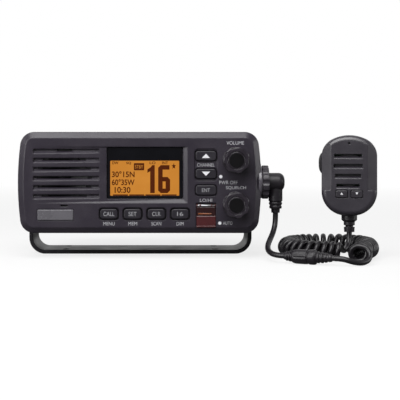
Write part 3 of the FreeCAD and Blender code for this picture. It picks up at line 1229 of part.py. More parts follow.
def cord(label, route, width):
    """A tube along straight runs joined by tangent arcs, each as large as its two runs allow."""
    points = [Vector(*point) for point in route]
    edges = []
    radii = []
    start = points[0]
    for before, corner, after in zip(points, points[1:], points[2:]):
        run_in = corner - before
        run_out = after - corner
        turn_angle = run_in.getAngle(run_out)
        if turn_angle < MIN_TURN:
            raise RuntimeError(f"{label} runs straight through a point")
        back = SHARE_OF_RUN * min(run_in.Length, run_out.Length)
        radii.append(back / math.tan(turn_angle / 2))
        unit_in = Vector(run_in).normalize()
        unit_out = Vector(run_out).normalize()
        arc_start = corner - unit_in * back
        arc_end = corner + unit_out * back
        middle = (unit_out - unit_in).normalize()
        reach = radii[-1] / math.cos(turn_angle / 2) - radii[-1]
        edges.append(Part.LineSegment(start, arc_start).toShape())
        edges.append(Part.Arc(arc_start, corner + middle * reach, arc_end).toShape())
        start = arc_end
    edges.append(Part.LineSegment(start, points[-1]).toShape())
    path = Part.Wire(edges)
    first_run = points[1] - points[0]
    section = Part.Wire(Part.makeCircle(float(width) / 2, points[0], first_run))
    tube = path.makePipeShell([section], True, False)
    expected = math.pi * (float(width) / 2) ** 2 * path.Length
    print(f"{label}: length {path.Length:.1f} mm, radii " + ", ".join(f"{radius:.1f}" for radius in radii)
          + f", volume {tube.Volume / expected:.4f} of section times length")
    if abs(tube.Volume / expected - 1) > 0.01:
        raise RuntimeError(f"{label} has the wrong volume")
    item = doc.addObject("Part::Feature", label)
    item.Shape = tube
    item.Label = label
    nodes.append(item)
    return item


cord("lead_cord", LEAD_ROUTE, d.cord_width)
cord("feed_cord", FEED_ROUTE, d.cord_width)
cord("curly_cord", COIL_ROUTE, d.coil_width)
cord("tail_cord", TAIL_ROUTE, d.cord_width)

# ---------------------------------------------------------------- microphone case
# Drawn upright about its own middle, then turned to its place.
turned = FreeCAD.Rotation(Vector(0, 0, 1), float(d.mic_turn))
mic_half = d.mic_width / 2
mic_front = -d.mic_depth / 2
mic_back = d.mic_depth / 2
mic_front_inner = mic_front + d.mic_wall
mic_back_inner = mic_back - d.mic_wall
SLOT_HALVES = (d.mic_slot_half - d.mic_slot_ease * 2, d.mic_slot_half - d.mic_slot_ease,
               d.mic_slot_half, d.mic_slot_half - d.mic_slot_ease / 2)
MIC_POSTS = ((13.5, 50.2), (11.5, 10.2))
mic_posts = [(x * side, d.mic_low + z) for x, z in MIC_POSTS for side in (-1, 1)]
mic_keys = [(d.mic_key_x * side, d.mic_low + d.mic_key_z) for side in (-1, 1)]
crown_reach = d.mic_crown - d.mic_shoulder
shoulder_in = mic_half - d.mic_shoulder
shoulder_rise = root(crown_reach * crown_reach - shoulder_in * shoulder_in)
shoulder_z = d.mic_low + d.mic_height - d.mic_crown + shoulder_rise
ptt_middle = shoulder_z + d.ptt_over - d.ptt_height / 2


def in_mic(part):
    """Turn and place a piece of the microphone."""
    part.Placement.Rotation = turned
    place(part, d.mic_x, d.mic_y, 0)
    return part


front_shell = body("mic_front_shell")
pad(front_shell, "XZ", mic_front, 0, mic_outline(0))
soften(front_shell, d.mic_front_edge, y=mic_front)
facet_top = d.mic_low + d.mic_height
for side in (-1, 1):
    cut(front_shell, "XY", d.mic_low + d.facet_low, facet_top, shape(
        (d.facet_x * side, mic_front - d.face_gap), ((mic_half + d.facet_out) * side, mic_front - d.face_gap),
        ((mic_half + d.facet_out) * side, mic_front + d.facet_deep)))
cut(front_shell, "XZ", mic_front_inner, 0, mic_outline(d.mic_wall + d.facet_back))
cut(front_shell, "XZ", mic_front_inner, 0, disc(0, d.mic_low + d.capsule_z, d.capsule_width + d.fit * 2))
cut(front_shell, "XZ", mic_front_inner + d.facet_back_deep, 0, mic_outline(d.mic_wall))
for step, half in enumerate(SLOT_HALVES):
    z = d.mic_low + d.mic_slot_low + d.mic_slot_pitch * step
    cut(front_shell, "YZ", d.mic_slot_x - half, d.mic_slot_x + half, shape(
        (mic_front - d.facet_out, z + d.mic_slot_open / 2), (mic_front_inner, z + d.mic_slot_open / 2),
        (mic_front_inner, z - d.mic_slot_open / 2),
        (mic_front - d.facet_out, z - d.mic_slot_open / 2 - d.mic_slot_lip)))
cut(front_shell, "XZ", mic_front, mic_front_inner, disc(0, d.mic_low + d.capsule_z, d.capsule_hole), *[
    pad_shape(x, z, d.mic_key_width + d.mic_key_gap * 2, d.mic_key_height + d.mic_key_gap * 2,
              d.mic_key_corner + d.mic_key_gap / 2) for x, z in mic_keys])
pad(front_shell, "XZ", mic_front_inner - d.sunk_root / 2, 0, *discs(mic_posts, d.mic_post))
cut(front_shell, "XZ", mic_front_inner + d.mic_screw_floor / 2, 0, *discs(mic_posts, d.mic_screw))

rear_shell = body("mic_rear_shell")
pad(rear_shell, "XZ", 0, mic_back, mic_outline(0))
soften(rear_shell, d.mic_back_edge, y=mic_back)
cut(rear_shell, "XZ", 0, mic_back_inner, mic_outline(d.mic_wall))
pad(rear_shell, "XZ", 0, mic_back_inner + d.sunk_root / 2, *discs(mic_posts, d.mic_post))
cut(rear_shell, "XZ", 0, mic_back, *discs(mic_posts, d.mic_screw + d.mic_screw_play))
cut(rear_shell, "XZ", mic_back - d.mic_head_sink, mic_back, *discs(
    mic_posts, d.mic_screw_head + d.mic_screw_play))
for shell in (front_shell, rear_shell):
    cut(shell, "YZ", -mic_half - d.facet_out, -mic_half + d.mic_wall + d.ptt_seat, pad_shape(
        0, ptt_middle, d.ptt_depth + d.ptt_gap * 2, d.ptt_height + d.ptt_gap * 2, d.ptt_corner))
    cut(shell, "XY", d.mic_low - d.relief_gap, d.mic_low + d.mic_wall + d.relief_gap, disc(
        0, 0, d.neck_radius * 2))
    in_mic(shell)

# ---------------------------------------------------------------- talk button and microphone keys
ptt = body("ptt_button")
ptt_inner = -mic_half + d.mic_wall + d.ptt_seat
pad(ptt, "YZ", -mic_half - d.ptt_proud, ptt_inner, pad_shape(
    0, ptt_middle, d.ptt_depth, d.ptt_height, d.ptt_corner))
soften(ptt, d.ptt_edge, x=mic_half + d.ptt_proud)
pad(ptt, "YZ", ptt_inner, ptt_inner + d.ptt_flange_thick, pad_shape(
    0, ptt_middle, d.ptt_depth + d.ptt_flange * 2, d.ptt_height + d.ptt_flange * 2, d.ptt_corner))
in_mic(ptt)

mic_key_top = mic_front - d.mic_key_proud
mic_key_inner = mic_front_inner + d.face_gap
mic_flange_end = mic_key_inner + d.mic_flange_thick
for label, (x, z) in zip(("mic_up_key", "mic_down_key"), mic_keys):
    item = body(label)
    pad(item, "XZ", mic_key_top, mic_key_inner, pad_shape(
        x, z, d.mic_key_width, d.mic_key_height, d.mic_key_corner))
    soften(item, d.mic_key_rim, y=mic_key_top)
    pad(item, "XZ", mic_key_inner, mic_flange_end, pad_shape(
        x, z, d.mic_key_width + d.mic_key_flange * 2, d.mic_key_height + d.mic_key_flange * 2,
        d.mic_key_corner))
    pad(item, "XZ", mic_flange_end, mic_front + d.mic_stem_end, pad_shape(
        x, z, d.mic_stem_width, d.mic_stem_height, d.mic_stem_corner))
    in_mic(item)

# ---------------------------------------------------------------- inside the microphone
speaker_z = d.mic_low + d.mic_speaker_z
speaker_back = mic_front_inner + d.mic_speaker_deep
mic_speaker = body("mic_speaker")
pad(mic_speaker, "XZ", mic_front_inner, speaker_back, disc(0, speaker_z, d.mic_speaker_width))
pad(mic_speaker, "XZ", speaker_back, speaker_back + d.mic_magnet_deep, disc(0, speaker_z, d.mic_magnet_width))
in_mic(mic_speaker)
capsule = body("mic_capsule")
pad(capsule, "XZ", mic_front_inner, mic_front_inner + d.capsule_deep, disc(
    0, d.mic_low + d.capsule_z, d.capsule_width))
in_mic(capsule)
mic_board = body("mic_board")
board_y = mic_front + d.mic_stem_end + d.mic_key_travel + d.mic_board_play
pad(mic_board, "XZ", board_y, board_y + d.mic_board_sheet, span(
    -d.mic_board_width / 2, d.mic_board_width / 2, d.mic_low + d.mic_board_low, d.mic_low + d.mic_board_high))
in_mic(mic_board)

hanger = body("hanger_button")
hanger_seat = mic_back + d.hanger_reach
hanger_end = hanger_seat + d.hanger_sheet
pad(hanger, "XZ", mic_back, hanger_seat, disc(0, d.mic_low + d.hanger_z, d.hanger_neck))
pad(hanger, "XZ", hanger_seat, hanger_end, disc(0, d.mic_low + d.hanger_z, d.hanger_width))
soften(hanger, d.hanger_rim, y=hanger_end)
in_mic(hanger)

mic_screws = body("mic_screws")
mic_screws.AllowCompound = True
head_seat = mic_back - d.mic_head_sink
pad(mic_screws, "XZ", head_seat, head_seat + d.mic_head_sheet, *discs(mic_posts, d.mic_screw_head))
pad(mic_screws, "XZ", mic_front_inner + d.mic_screw_floor, head_seat, *discs(mic_posts, d.mic_screw))
in_mic(mic_screws)

# The strain relief's profile is (radius, height above the case's lowest edge): a button inside the
# case, a neck through its wall, a collar and a tapered boot with one groove.
collar = d.relief_width / 2
neck = d.neck_radius - d.relief_gap
RELIEF_PROFILE = (
    (0, 3.8), (5.2, 3.8), (5.2, 2.4), (neck, 2.4), (neck, -d.relief_gap), (collar, -d.relief_gap),
    (collar, -3.6), (collar - 1.2, -4.6), (4.1, -4.9), (4.1, -7.4), (2.8, -8.0), (2.8, -8.6), (4.0, -9.0),
    (3.8, -d.relief_foot), (0, -d.relief_foot))
mic_relief = body("mic_strain_relief")
turn(mic_relief, "XZ", "V_Axis", shape(*[(radius, d.mic_low + rise) for radius, rise in RELIEF_PROFILE]))
in_mic(mic_relief)

# ---------------------------------------------------------------- check and write
doc.recompute()
for item in doc.Objects:
    if "Invalid" in item.State or "Error" in item.State:
        raise RuntimeError(f"{item.Name} ({item.Label}) failed: {item.State}")
os.makedirs("parts", exist_ok=True)
for item in nodes:
    solid = item.Shape
    if solid.isNull() or not solid.isValid() or not solid.Solids:
        raise RuntimeError(f"{item.Label} has no valid shape")
    solid.exportStep(f"parts/{item.Label}.step")
print(f"{len(nodes)} sub-parts written")
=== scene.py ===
import math

import bpy
import numpy as np
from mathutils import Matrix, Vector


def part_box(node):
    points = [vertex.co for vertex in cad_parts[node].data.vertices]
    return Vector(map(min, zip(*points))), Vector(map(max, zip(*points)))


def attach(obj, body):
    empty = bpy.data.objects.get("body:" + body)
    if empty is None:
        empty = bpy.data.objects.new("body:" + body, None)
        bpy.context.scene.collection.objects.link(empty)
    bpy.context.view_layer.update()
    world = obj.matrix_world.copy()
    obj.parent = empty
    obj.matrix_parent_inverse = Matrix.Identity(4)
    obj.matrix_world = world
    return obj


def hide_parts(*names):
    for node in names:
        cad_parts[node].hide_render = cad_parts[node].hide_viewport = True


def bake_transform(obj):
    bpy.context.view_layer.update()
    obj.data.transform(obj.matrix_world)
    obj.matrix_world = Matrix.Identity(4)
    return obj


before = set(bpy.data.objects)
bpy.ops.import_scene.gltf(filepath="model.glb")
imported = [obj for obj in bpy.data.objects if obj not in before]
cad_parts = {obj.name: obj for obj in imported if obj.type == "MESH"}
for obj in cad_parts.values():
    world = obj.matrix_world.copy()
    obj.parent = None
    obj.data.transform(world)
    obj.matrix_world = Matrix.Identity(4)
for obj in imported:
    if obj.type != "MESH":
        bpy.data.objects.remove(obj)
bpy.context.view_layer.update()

MM = 0.001


# ---- Table and studio light ------------------------------
# A pale table top with a white studio round it. One broad soft lamp hangs over the front,
# a large one stands at the left and a weak one at the right fills the shaded side.
def srgb(code):
    """Turns a hex colour to linear light: each channel over 255, then the sRGB curve undone."""
    parts = np.array([int(code[i:i + 2], 16) for i in (1, 3, 5)]) / 255
    linear = np.where(parts <= 0.04045, parts / 12.92, ((parts + 0.055) / 1.055) ** 2.4)
    return (*linear.tolist(), 1.0)


def add(tree, kind, inputs=None, **settings):
    """Adds a node, gives it its settings, and fills each named input with a link or a value."""
    node = tree.nodes.new("ShaderNode" + kind)
    for key, value in settings.items():
        setattr(node, key, value)
    for key, value in (inputs or {}).items():
        if isinstance(value, bpy.types.NodeSocket):
            tree.links.new(value, node.inputs[key])
        else:
            node.inputs[key].default_value = value
    return node


def blank(name):
    """A new material and its empty node tree."""
    material = bpy.data.materials.new(name)
    material.use_nodes = True
    material.node_tree.nodes.clear()
    return material, material.node_tree


def slab(name, side, level, lines=9):
    """A flat square table: a grid of two parameters, x and y across its side."""
    x, y = np.meshgrid(*[np.linspace(-side / 2, side / 2, lines)] * 2)
    points = np.stack([x.ravel(), y.ravel(), np.full(x.size, level)], axis=1)
    corner = (np.arange(lines - 1)[:, None] * lines + np.arange(lines - 1)).ravel()
    faces = np.stack([corner, corner + 1, corner + lines + 1, corner + lines], axis=1)
    mesh = bpy.data.meshes.new(name)
    mesh.from_pydata(points.tolist(), [], faces.tolist())
    table = bpy.data.objects.new(name, mesh)
    bpy.context.scene.collection.objects.link(table)
    return table


# Matt laminate: even and pale, faintly cloudy, and it fades to the white behind it from FADE_NEAR
# to FADE_FAR metres off. Gloss on the object sees only a little of it.
CLOUD_SIZE = 60.0
FADE_NEAR = 0.3
FADE_FAR = 1.4
FADE_LEAST = 0.78
GLOSS_SHARE = 0.1
table_top = slab("table_top", side=9.0, level=0.0)
table_paint, tree = blank("matt_white_laminate")
spot = add(tree, "TexCoord").outputs["Object"]
cloud = add(tree, "TexNoise", {"Vector": spot, "Scale": 1 / (CLOUD_SIZE * MM), "Detail": 3.0})
ray = add(tree, "LightPath")
seen = add(tree, "Math", {0: ray.outputs["Is Camera Ray"], 1: ray.outputs["Is Transmission Ray"]},
           operation="MAXIMUM")
pale = add(tree, "MixRGB", {
    "Fac": cloud.outputs["Fac"], "Color1": srgb("#f1f1f1"), "Color2": srgb("#f6f6f6")})
shown = add(tree, "MixRGB", {
    "Fac": seen.outputs[0], "Color1": srgb("#505050"), "Color2": pale.outputs["Color"]})
matt = add(tree, "BsdfDiffuse", {"Color": shown.outputs["Color"]})
white = add(tree, "Emission", {"Color": srgb("#ffffff"), "Strength": 1.0})
far = add(tree, "VectorMath", {0: spot}, operation="LENGTH")
fade = add(tree, "MapRange", {
    "Value": far.outputs["Value"], "From Min": FADE_NEAR, "From Max": FADE_FAR,
    "To Min": FADE_LEAST, "To Max": 1.0})
gloss = add(tree, "Math", {0: ray.outputs["Is Glossy Ray"], 1: GLOSS_SHARE}, operation="MULTIPLY")
shine = add(tree, "Math", {0: seen.outputs[0], 1: gloss.outputs[0]}, operation="MAXIMUM")
share = add(tree, "Math", {0: shine.outputs[0], 1: fade.outputs["Result"]}, operation="MULTIPLY")
mixed = add(tree, "MixShader", {
    0: share.outputs[0], 1: matt.outputs["BSDF"], 2: white.outputs["Emission"]})
add(tree, "OutputMaterial", {"Surface": mixed.outputs["Shader"]})
table_top.data.materials.append(table_paint)

# The studio: white to the eye, and as light only ROOM_LIGHT strong. Gloss and metal see the white
# backdrop behind the object, and less of the dark room before it.
ROOM_LIGHT = 0.16
BACKDROP_SHARE = 0.75
BACKDROP_FROM = -0.1
BACKDROP_TO = 0.7
studio = bpy.data.worlds.new("white_studio")
bpy.context.scene.world = studio
studio.use_nodes = True
tree = studio.node_tree
tree.nodes.clear()
ray = add(tree, "LightPath")
seen = add(tree, "Math", {0: ray.outputs["Is Camera Ray"], 1: ray.outputs["Is Transmission Ray"]},
           operation="MAXIMUM")
aim = add(tree, "SeparateXYZ", {"Vector": add(tree, "TexCoord").outputs["Generated"]})
behind = add(tree, "MapRange", {
    "Value": aim.outputs["Y"], "From Min": BACKDROP_FROM, "From Max": BACKDROP_TO,
    "To Min": 0.0, "To Max": BACKDROP_SHARE})
mirrored = add(tree, "Math", {0: ray.outputs["Is Glossy Ray"], 1: behind.outputs["Result"]},
               operation="MULTIPLY")
seen = add(tree, "Math", {0: seen.outputs[0], 1: mirrored.outputs[0]}, operation="MAXIMUM")
level = add(tree, "MapRange", {"Value": seen.outputs[0], "To Min": ROOM_LIGHT, "To Max": 1.0})
sky = add(tree, "Background", {"Color": srgb("#ffffff"), "Strength": level.outputs["Result"]})
add(tree, "OutputWorld", {"Surface": sky.outputs["Background"]})


def lamp(name, place, aim, size, power):
    """A square soft lamp of that size at a place, turned so that it shines at the aim."""
    light = bpy.data.lights.new(name, "AREA")
    light.size = size
    light.energy = power
    holder = bpy.data.objects.new(name, light)
    bpy.context.scene.collection.objects.link(holder)
    holder.location = place
    away = np.array(place) - np.array(aim)
    flat = math.hypot(away[0], away[1])
    holder.rotation_euler = (math.atan2(flat, away[2]), 0.0, math.atan2(away[0], -away[1]))


lamp("overhead_lamp", place=(-0.15, -0.74, 0.94), aim=(0.03, -0.04, 0.06), size=0.95, power=14.0)
lamp("left_lamp", place=(-0.95, -0.80, 0.36), aim=(0.0, -0.05, 0.06), size=0.6, power=7.6)
lamp("right_lamp", place=(1.15, -0.20, 0.28), aim=(0.08, -0.05, 0.06), size=0.5, power=3.0)

# The camera looks level along y, and its shifts, in shares of the frame, bring the object in.
bpy.context.scene.view_settings.view_transform = "Standard"
lens = bpy.data.cameras.new("camera")
lens.lens = 96.3
lens.sensor_width = 36.0
lens.shift_x = 0.10
lens.shift_y = -0.1375
lens.clip_start = 0.05
lens.clip_end = 20.0
camera = bpy.data.objects.new("camera", lens)
bpy.context.scene.collection.objects.link(camera)
camera.location = (0.0152, -0.853, 0.0846)
camera.rotation_euler = (math.radians(90), 0.0, 0.0)
bpy.context.scene.camera = camera


# ---- Front panel -----------------------------------------
# The face of the radio: one injection-moulded ABS tray with a spark-eroded grain, screwed to
# the flange of the casting, and the rubber gasket squeezed behind its rim.
POLYMER_IOR = 1.53
# One noise keeps to NOISE_LOW and NOISE_HIGH, and the product of two to the mottle's range.
NOISE_LOW = 0.3
NOISE_HIGH = 0.7
MOTTLE_LOW = 0.12
MOTTLE_HIGH = 0.4
POLISH_SPREAD = 0.05


def moulded(name, colour, tint, roughness, grain, depth, edge=0.35, cloud=18.0, specular=0.5):
    """A moulded surface: noise of cloud mm times noise of grain mm turns the colour to the tint, and
    the grain lifts it by the depth in mm. Edges are eased to the edge radius in mm."""
    material, tree = blank(name)
    place = add(tree, "TexCoord").outputs["Object"]
    broad = add(tree, "TexNoise", {
        "Vector": place, "Scale": 1 / (cloud * MM), "Detail": 4.0, "Roughness": 0.6})
    fine = add(tree, "TexNoise", {
        "Vector": place, "Scale": 1 / (grain * MM), "Detail": 2.0, "Roughness": 0.5})
    mottle = add(tree, "Math", {0: broad.outputs["Fac"], 1: fine.outputs["Fac"]}, operation="MULTIPLY")
    shade = add(tree, "MapRange", {
        "Value": mottle.outputs[0], "From Min": MOTTLE_LOW, "From Max": MOTTLE_HIGH})
    paint = add(tree, "MixRGB", {
        "Fac": shade.outputs["Result"], "Color1": srgb(colour), "Color2": srgb(tint)})
    polish = add(tree, "MapRange", {
        "Value": broad.outputs["Fac"], "From Min": NOISE_LOW, "From Max": NOISE_HIGH,
        "To Min": roughness - POLISH_SPREAD, "To Max": roughness + POLISH_SPREAD})
    soft = add(tree, "Bevel", {"Radius": edge * MM}, samples=4)
    relief = add(tree, "Bump", {
        "Height": fine.outputs["Fac"], "Distance": depth * MM, "Normal": soft.outputs["Normal"]})
    surface = add(tree, "BsdfPrincipled", {
        "Base Color": paint.outputs["Color"], "Roughness": polish.outputs["Result"],
        "Normal": relief.outputs["Normal"], "IOR": POLYMER_IOR, "Specular IOR Level": specular})
    add(tree, "OutputMaterial", {"Surface": surface.outputs["BSDF"]})
    return material


def dress(material, *names):
    """Puts the material in every slot of each named part of the frame."""
    for name in names:
        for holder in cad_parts[name].material_slots:
            holder.material = material


# Grained ABS: dull charcoal with a violet cast; the 0.15 mm grain is drawn at 0.9 mm to show.
panel_abs = moulded(
    "grained_charcoal_abs", "#2b2630", "#353039", roughness=0.34, grain=0.9, depth=0.02, edge=1.1)
dress(panel_abs, "front_panel")

# Moulded rubber: nearly black, with no grain, only dust and handling marks a few mm wide.
seal_rubber = moulded(
    "black_seal_rubber", "#141315", "#1d1c1e", roughness=0.55, grain=2.0, depth=0.02, cloud=9.0)
dress(seal_rubber, "front_gasket", "keypad_mat")


# ---- Name plate ------------------------------------------
# A small satin plate glued in a shallow seat at the lower left of the face, left bare.
# Moulded ABS with a silver-grey lacquer: smoother and paler than the panel round it.
plate_lacquer = moulded(
    "satin_grey_lacquer", "#5a585d", "#68666c",
    roughness=0.28, grain=0.5, depth=0.006, edge=0.5, specular=0.8)
dress(plate_lacquer, "blank_plate")


# ---- Loudspeaker -----------------------------------------
# Behind the six louvres: a stamped steel basket with a plastic-film cone and its magnet,
# clamped to the back of the panel.
SCRATCH_SPREAD = 0.07


def metal(name, colour, tint, roughness, scratch, depth, stretch=(1.0, 1.0, 12.0)):
    """A metal: noise of scratch mm, finer by the stretch along each axis, draws lines that turn the
    colour to the tint, vary the polish and lift the surface by the depth in mm."""
    material, tree = blank(name)
    place = add(tree, "TexCoord").outputs["Object"]
    drawn = add(tree, "Mapping", {"Vector": place, "Scale": stretch})
    lines = add(tree, "TexNoise", {
        "Vector": drawn.outputs["Vector"], "Scale": 1 / (scratch * MM), "Detail": 3.0})
    tone = add(tree, "MixRGB", {
        "Fac": lines.outputs["Fac"], "Color1": srgb(colour), "Color2": srgb(tint)})
    polish = add(tree, "MapRange", {
        "Value": lines.outputs["Fac"], "From Min": NOISE_LOW, "From Max": NOISE_HIGH,
        "To Min": roughness - SCRATCH_SPREAD, "To Max": roughness + SCRATCH_SPREAD})
    soft = add(tree, "Bevel", {"Radius": 0.2 * MM}, samples=4)
    relief = add(tree, "Bump", {
        "Height": lines.outputs["Fac"], "Distance": depth * MM, "Normal": soft.outputs["Normal"]})
    surface = add(tree, "BsdfPrincipled", {
        "Base Color": tone.outputs["Color"], "Roughness": polish.outputs["Result"],
        "Metallic": 1.0, "Normal": relief.outputs["Normal"]})
    add(tree, "OutputMaterial", {"Surface": surface.outputs["BSDF"]})
    return material


# Black-lacquered pressed steel: an even satin black with soft handling marks.
basket_lacquer = moulded(
    "black_lacquered_pressing", "#161618", "#202023", roughness=0.4, grain=1.5, depth=0.01, edge=0.2)
dress(basket_lacquer, "speaker_frame", "speaker_magnet", "mic_speaker")
# Polypropylene cone: smooth dark film with a faint cloudiness.
cone_film = moulded("black_cone_film", "#131315", "#1c1c20", roughness=0.5, grain=1.2, depth=0.01, cloud=8.0)
dress(cone_film, "speaker_cone", "mic_capsule")


# ---- Display ---------------------------------------------
# A polished acrylic window, painted black behind except where the lit glass shows through,
# bonded into the panel from the front. The amber backlight shines through the glass.
def corners(name):
    """The lowest and the highest corner of a named part of the frame, in mm, to a thousandth."""
    return [np.round(np.array(corner) / MM, 3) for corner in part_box(name)]


window_low, window_high = corners("display_window")
WINDOW_LEFT, WINDOW_FACE, WINDOW_FOOT = window_low
WINDOW_RIGHT, WINDOW_BACK, WINDOW_TOP = window_high
WINDOW_CORNER = 1.0
WINDOW_EASE = 0.3
# The lit view inside the window's black border, which is broad at the top.
VIEW_LEFT = WINDOW_LEFT + 2.5
VIEW_RIGHT = WINDOW_RIGHT - 2.6
VIEW_FOOT = WINDOW_FOOT + 2.05
VIEW_TOP = WINDOW_TOP - 10.05
VIEW_CORNER = 0.6


def show(name, mesh, material, body, smooth=False):
    """Links a mesh as a piece in its material, riding on a body if it has one, with its finish's slot."""
    mesh.name = name
    mesh.validate()
    mesh.update()
    mesh.polygons.foreach_set("use_smooth", np.full(len(mesh.polygons), smooth))
    piece = bpy.data.objects.new(name, mesh)
    bpy.context.scene.collection.objects.link(piece)
    mesh.materials.clear()
    mesh.materials.append(material)
    if body:
        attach(piece, body)
    return piece


def rounded(left, right, foot, top, corner, steps=6):
    """A rectangle's outline, its corners arcs of that radius: centre plus radius times (cos, sin)."""
    turn = np.linspace(0, math.pi / 2, steps)
    start = np.arange(4)[:, None] * math.pi / 2 + turn[None, :]
    x = np.array([right - corner, left + corner, left + corner, right - corner])[:, None]
    z = np.array([top - corner, top - corner, foot + corner, foot + corner])[:, None]
    return np.stack([(x + corner * np.cos(start)).ravel(), (z + corner * np.sin(start)).ravel()], axis=1)


def loops(rings, closed):
    """Joins outlines of equal count, each a list of (x, y, z) in mm, into a skin of quads. The skin is
    turned to face outwards by the sign of its volume, a sixth of the sum of its corners' products."""
    rings = np.array(rings)
    count, around = rings.shape[:2]
    row, column = np.meshgrid(np.arange(count - (not closed)), np.arange(around), indexing="ij")
    ahead, beside = (row + 1) % count, (column + 1) % around
    quads = np.stack([
        row * around + column, row * around + beside, ahead * around + beside, ahead * around + column],
        axis=2).reshape(-1, 4)
    faces = quads.tolist()
    if not closed:
        faces.append(list(range(around))[::-1])
        faces.append(list(range((count - 1) * around, count * around)))
    points = rings.reshape(-1, 3)
    first, second, third, fourth = np.swapaxes(points[quads] - points.mean(axis=0), 0, 1)
    volume = np.sum(np.cross(first, second) * third) + np.sum(np.cross(first, third) * fourth)
    if volume < 0:
        faces = [face[::-1] for face in faces]
    mesh = bpy.data.meshes.new("skin")
    mesh.from_pydata((points * MM).tolist(), [], faces)
    return mesh


def outline_at(outline, y):
    """The flat outline (x, z) stood at a depth y."""
    return np.stack([outline[:, 0], np.full(len(outline), y), outline[:, 1]], axis=1)


window_outer = rounded(WINDOW_LEFT, WINDOW_RIGHT, WINDOW_FOOT, WINDOW_TOP, WINDOW_CORNER)
window_lip = rounded(
    WINDOW_LEFT + WINDOW_EASE, WINDOW_RIGHT - WINDOW_EASE, WINDOW_FOOT + WINDOW_EASE,
    WINDOW_TOP - WINDOW_EASE, corner=0.9)
view_lip = rounded(VIEW_LEFT, VIEW_RIGHT, VIEW_FOOT, VIEW_TOP, VIEW_CORNER)
window_mesh = loops([
    outline_at(window_outer, WINDOW_BACK), outline_at(window_outer, WINDOW_FACE + WINDOW_EASE),
    outline_at(window_lip, WINDOW_FACE), outline_at(view_lip, WINDOW_FACE),
    outline_at(view_lip, WINDOW_BACK)], closed=True)
# Polished acrylic over black ink: deep black, with clear reflections and the faintest ripple.
window_ink = moulded(
    "black_backed_acrylic", "#0b0b0f", "#0f0f14",
    roughness=0.12, grain=6.0, depth=0.004, edge=0.2, specular=0.3)
window_surround = show("window_surround", window_mesh, window_ink, "radio")
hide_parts("display_window")


def slip(outline, back, front):
    """A thin sheet cut to an outline (x, z): the outline at back and at front in y, both ends closed."""
    return loops([outline_at(outline, back), outline_at(outline, front)], closed=False)


PANE_FACE = WINDOW_FACE + 0.25
PANE_GAP = 0.02
pane_outline = rounded(
    VIEW_LEFT + PANE_GAP, VIEW_RIGHT - PANE_GAP, VIEW_FOOT + PANE_GAP, VIEW_TOP - PANE_GAP, VIEW_CORNER)
# Backlit liquid crystal under a clear pane: amber light, a little brighter at the middle. The
# glow's scale is one over its reach in metres, and its shift puts its centre there.
GLOW_SCALE = (26.0, 0.0, 38.0)
GLOW_SHIFT = (-0.1, 0.0, -2.3)
PATCH_SIZE = 7.0
lit_amber, tree = blank("amber_backlit_glass")
place = add(tree, "TexCoord").outputs["Object"]
centred = add(tree, "Mapping", {"Vector": place, "Location": GLOW_SHIFT, "Scale": GLOW_SCALE})
glow = add(tree, "TexGradient", {"Vector": centred.outputs["Vector"]}, gradient_type="SPHERICAL")
cloud = add(tree, "TexNoise", {"Vector": place, "Scale": 1 / (PATCH_SIZE * MM), "Detail": 2.0})
lit = add(tree, "Math", {0: glow.outputs["Fac"], 1: cloud.outputs["Fac"]}, operation="MULTIPLY")
amber = add(tree, "MixRGB", {
    "Fac": lit.outputs[0], "Color1": srgb("#c27c2a"), "Color2": srgb("#d08a36")})
surface = add(tree, "BsdfPrincipled", {
    "Base Color": srgb("#1c1004"), "Roughness": 0.2, "Emission Color": amber.outputs["Color"],
    "Emission Strength": 1.0, "IOR": 1.49})
add(tree, "OutputMaterial", {"Surface": surface.outputs["BSDF"]})
show("lit_pane", slip(pane_outline, WINDOW_BACK, PANE_FACE), lit_amber, "radio")


def stroke(line, width, back, front):
    """A flat stroke from back to front in y: half the width goes to both sides of a line of (x, z)
    points, along its mitred normals."""
    line = np.array(line, float)
    ahead = np.diff(line, axis=0)
    ahead /= np.linalg.norm(ahead, axis=1)[:, None]
    side = np.stack([-ahead[:, 1], ahead[:, 0]], axis=1)
    first, last = np.vstack([side[:1], side]), np.vstack([side, side[-1:]])
    mitre = (first + last) / (1 + np.sum(first * last, axis=1))[:, None] * width / 2
    left, right = line + mitre, line - mitre
    return loops(np.stack([
        outline_at(left, front), outline_at(right, front), outline_at(right, back), outline_at(left, back)],
        axis=1), closed=False)


INK_LIFT = 0.05


def lettering(words, centre, height, width, y, bold=0.0):
    """Words as raised letters facing -y: each axis is stretched so that the whole has that height and
    width about the centre (x, z). Bold widens the strokes, in shares of the type's size."""
    text = bpy.data.curves.new("letters", "FONT")
    text.body = words
    text.size = 1.0
    text.extrude = 0.01
    text.offset = bold
    holder = bpy.data.objects.new("letters", text)
    mesh = bpy.data.meshes.new_from_object(holder)
    bpy.data.objects.remove(holder)
    points = np.empty(len(mesh.vertices) * 3, np.float32)
    mesh.vertices.foreach_get("co", points)
    points = points.reshape(-1, 3)
    low, high = points.min(0), points.max(0)
    flat = (points - (low + high) / 2) / (high - low) * np.array([width, height, INK_LIFT])
    placed = np.stack([
        flat[:, 0] + centre[0], y - flat[:, 2] - INK_LIFT / 2, flat[:, 1] + centre[1]], axis=1)
    mesh.vertices.foreach_set("co", (placed * MM).astype(np.float32).ravel())
    return mesh


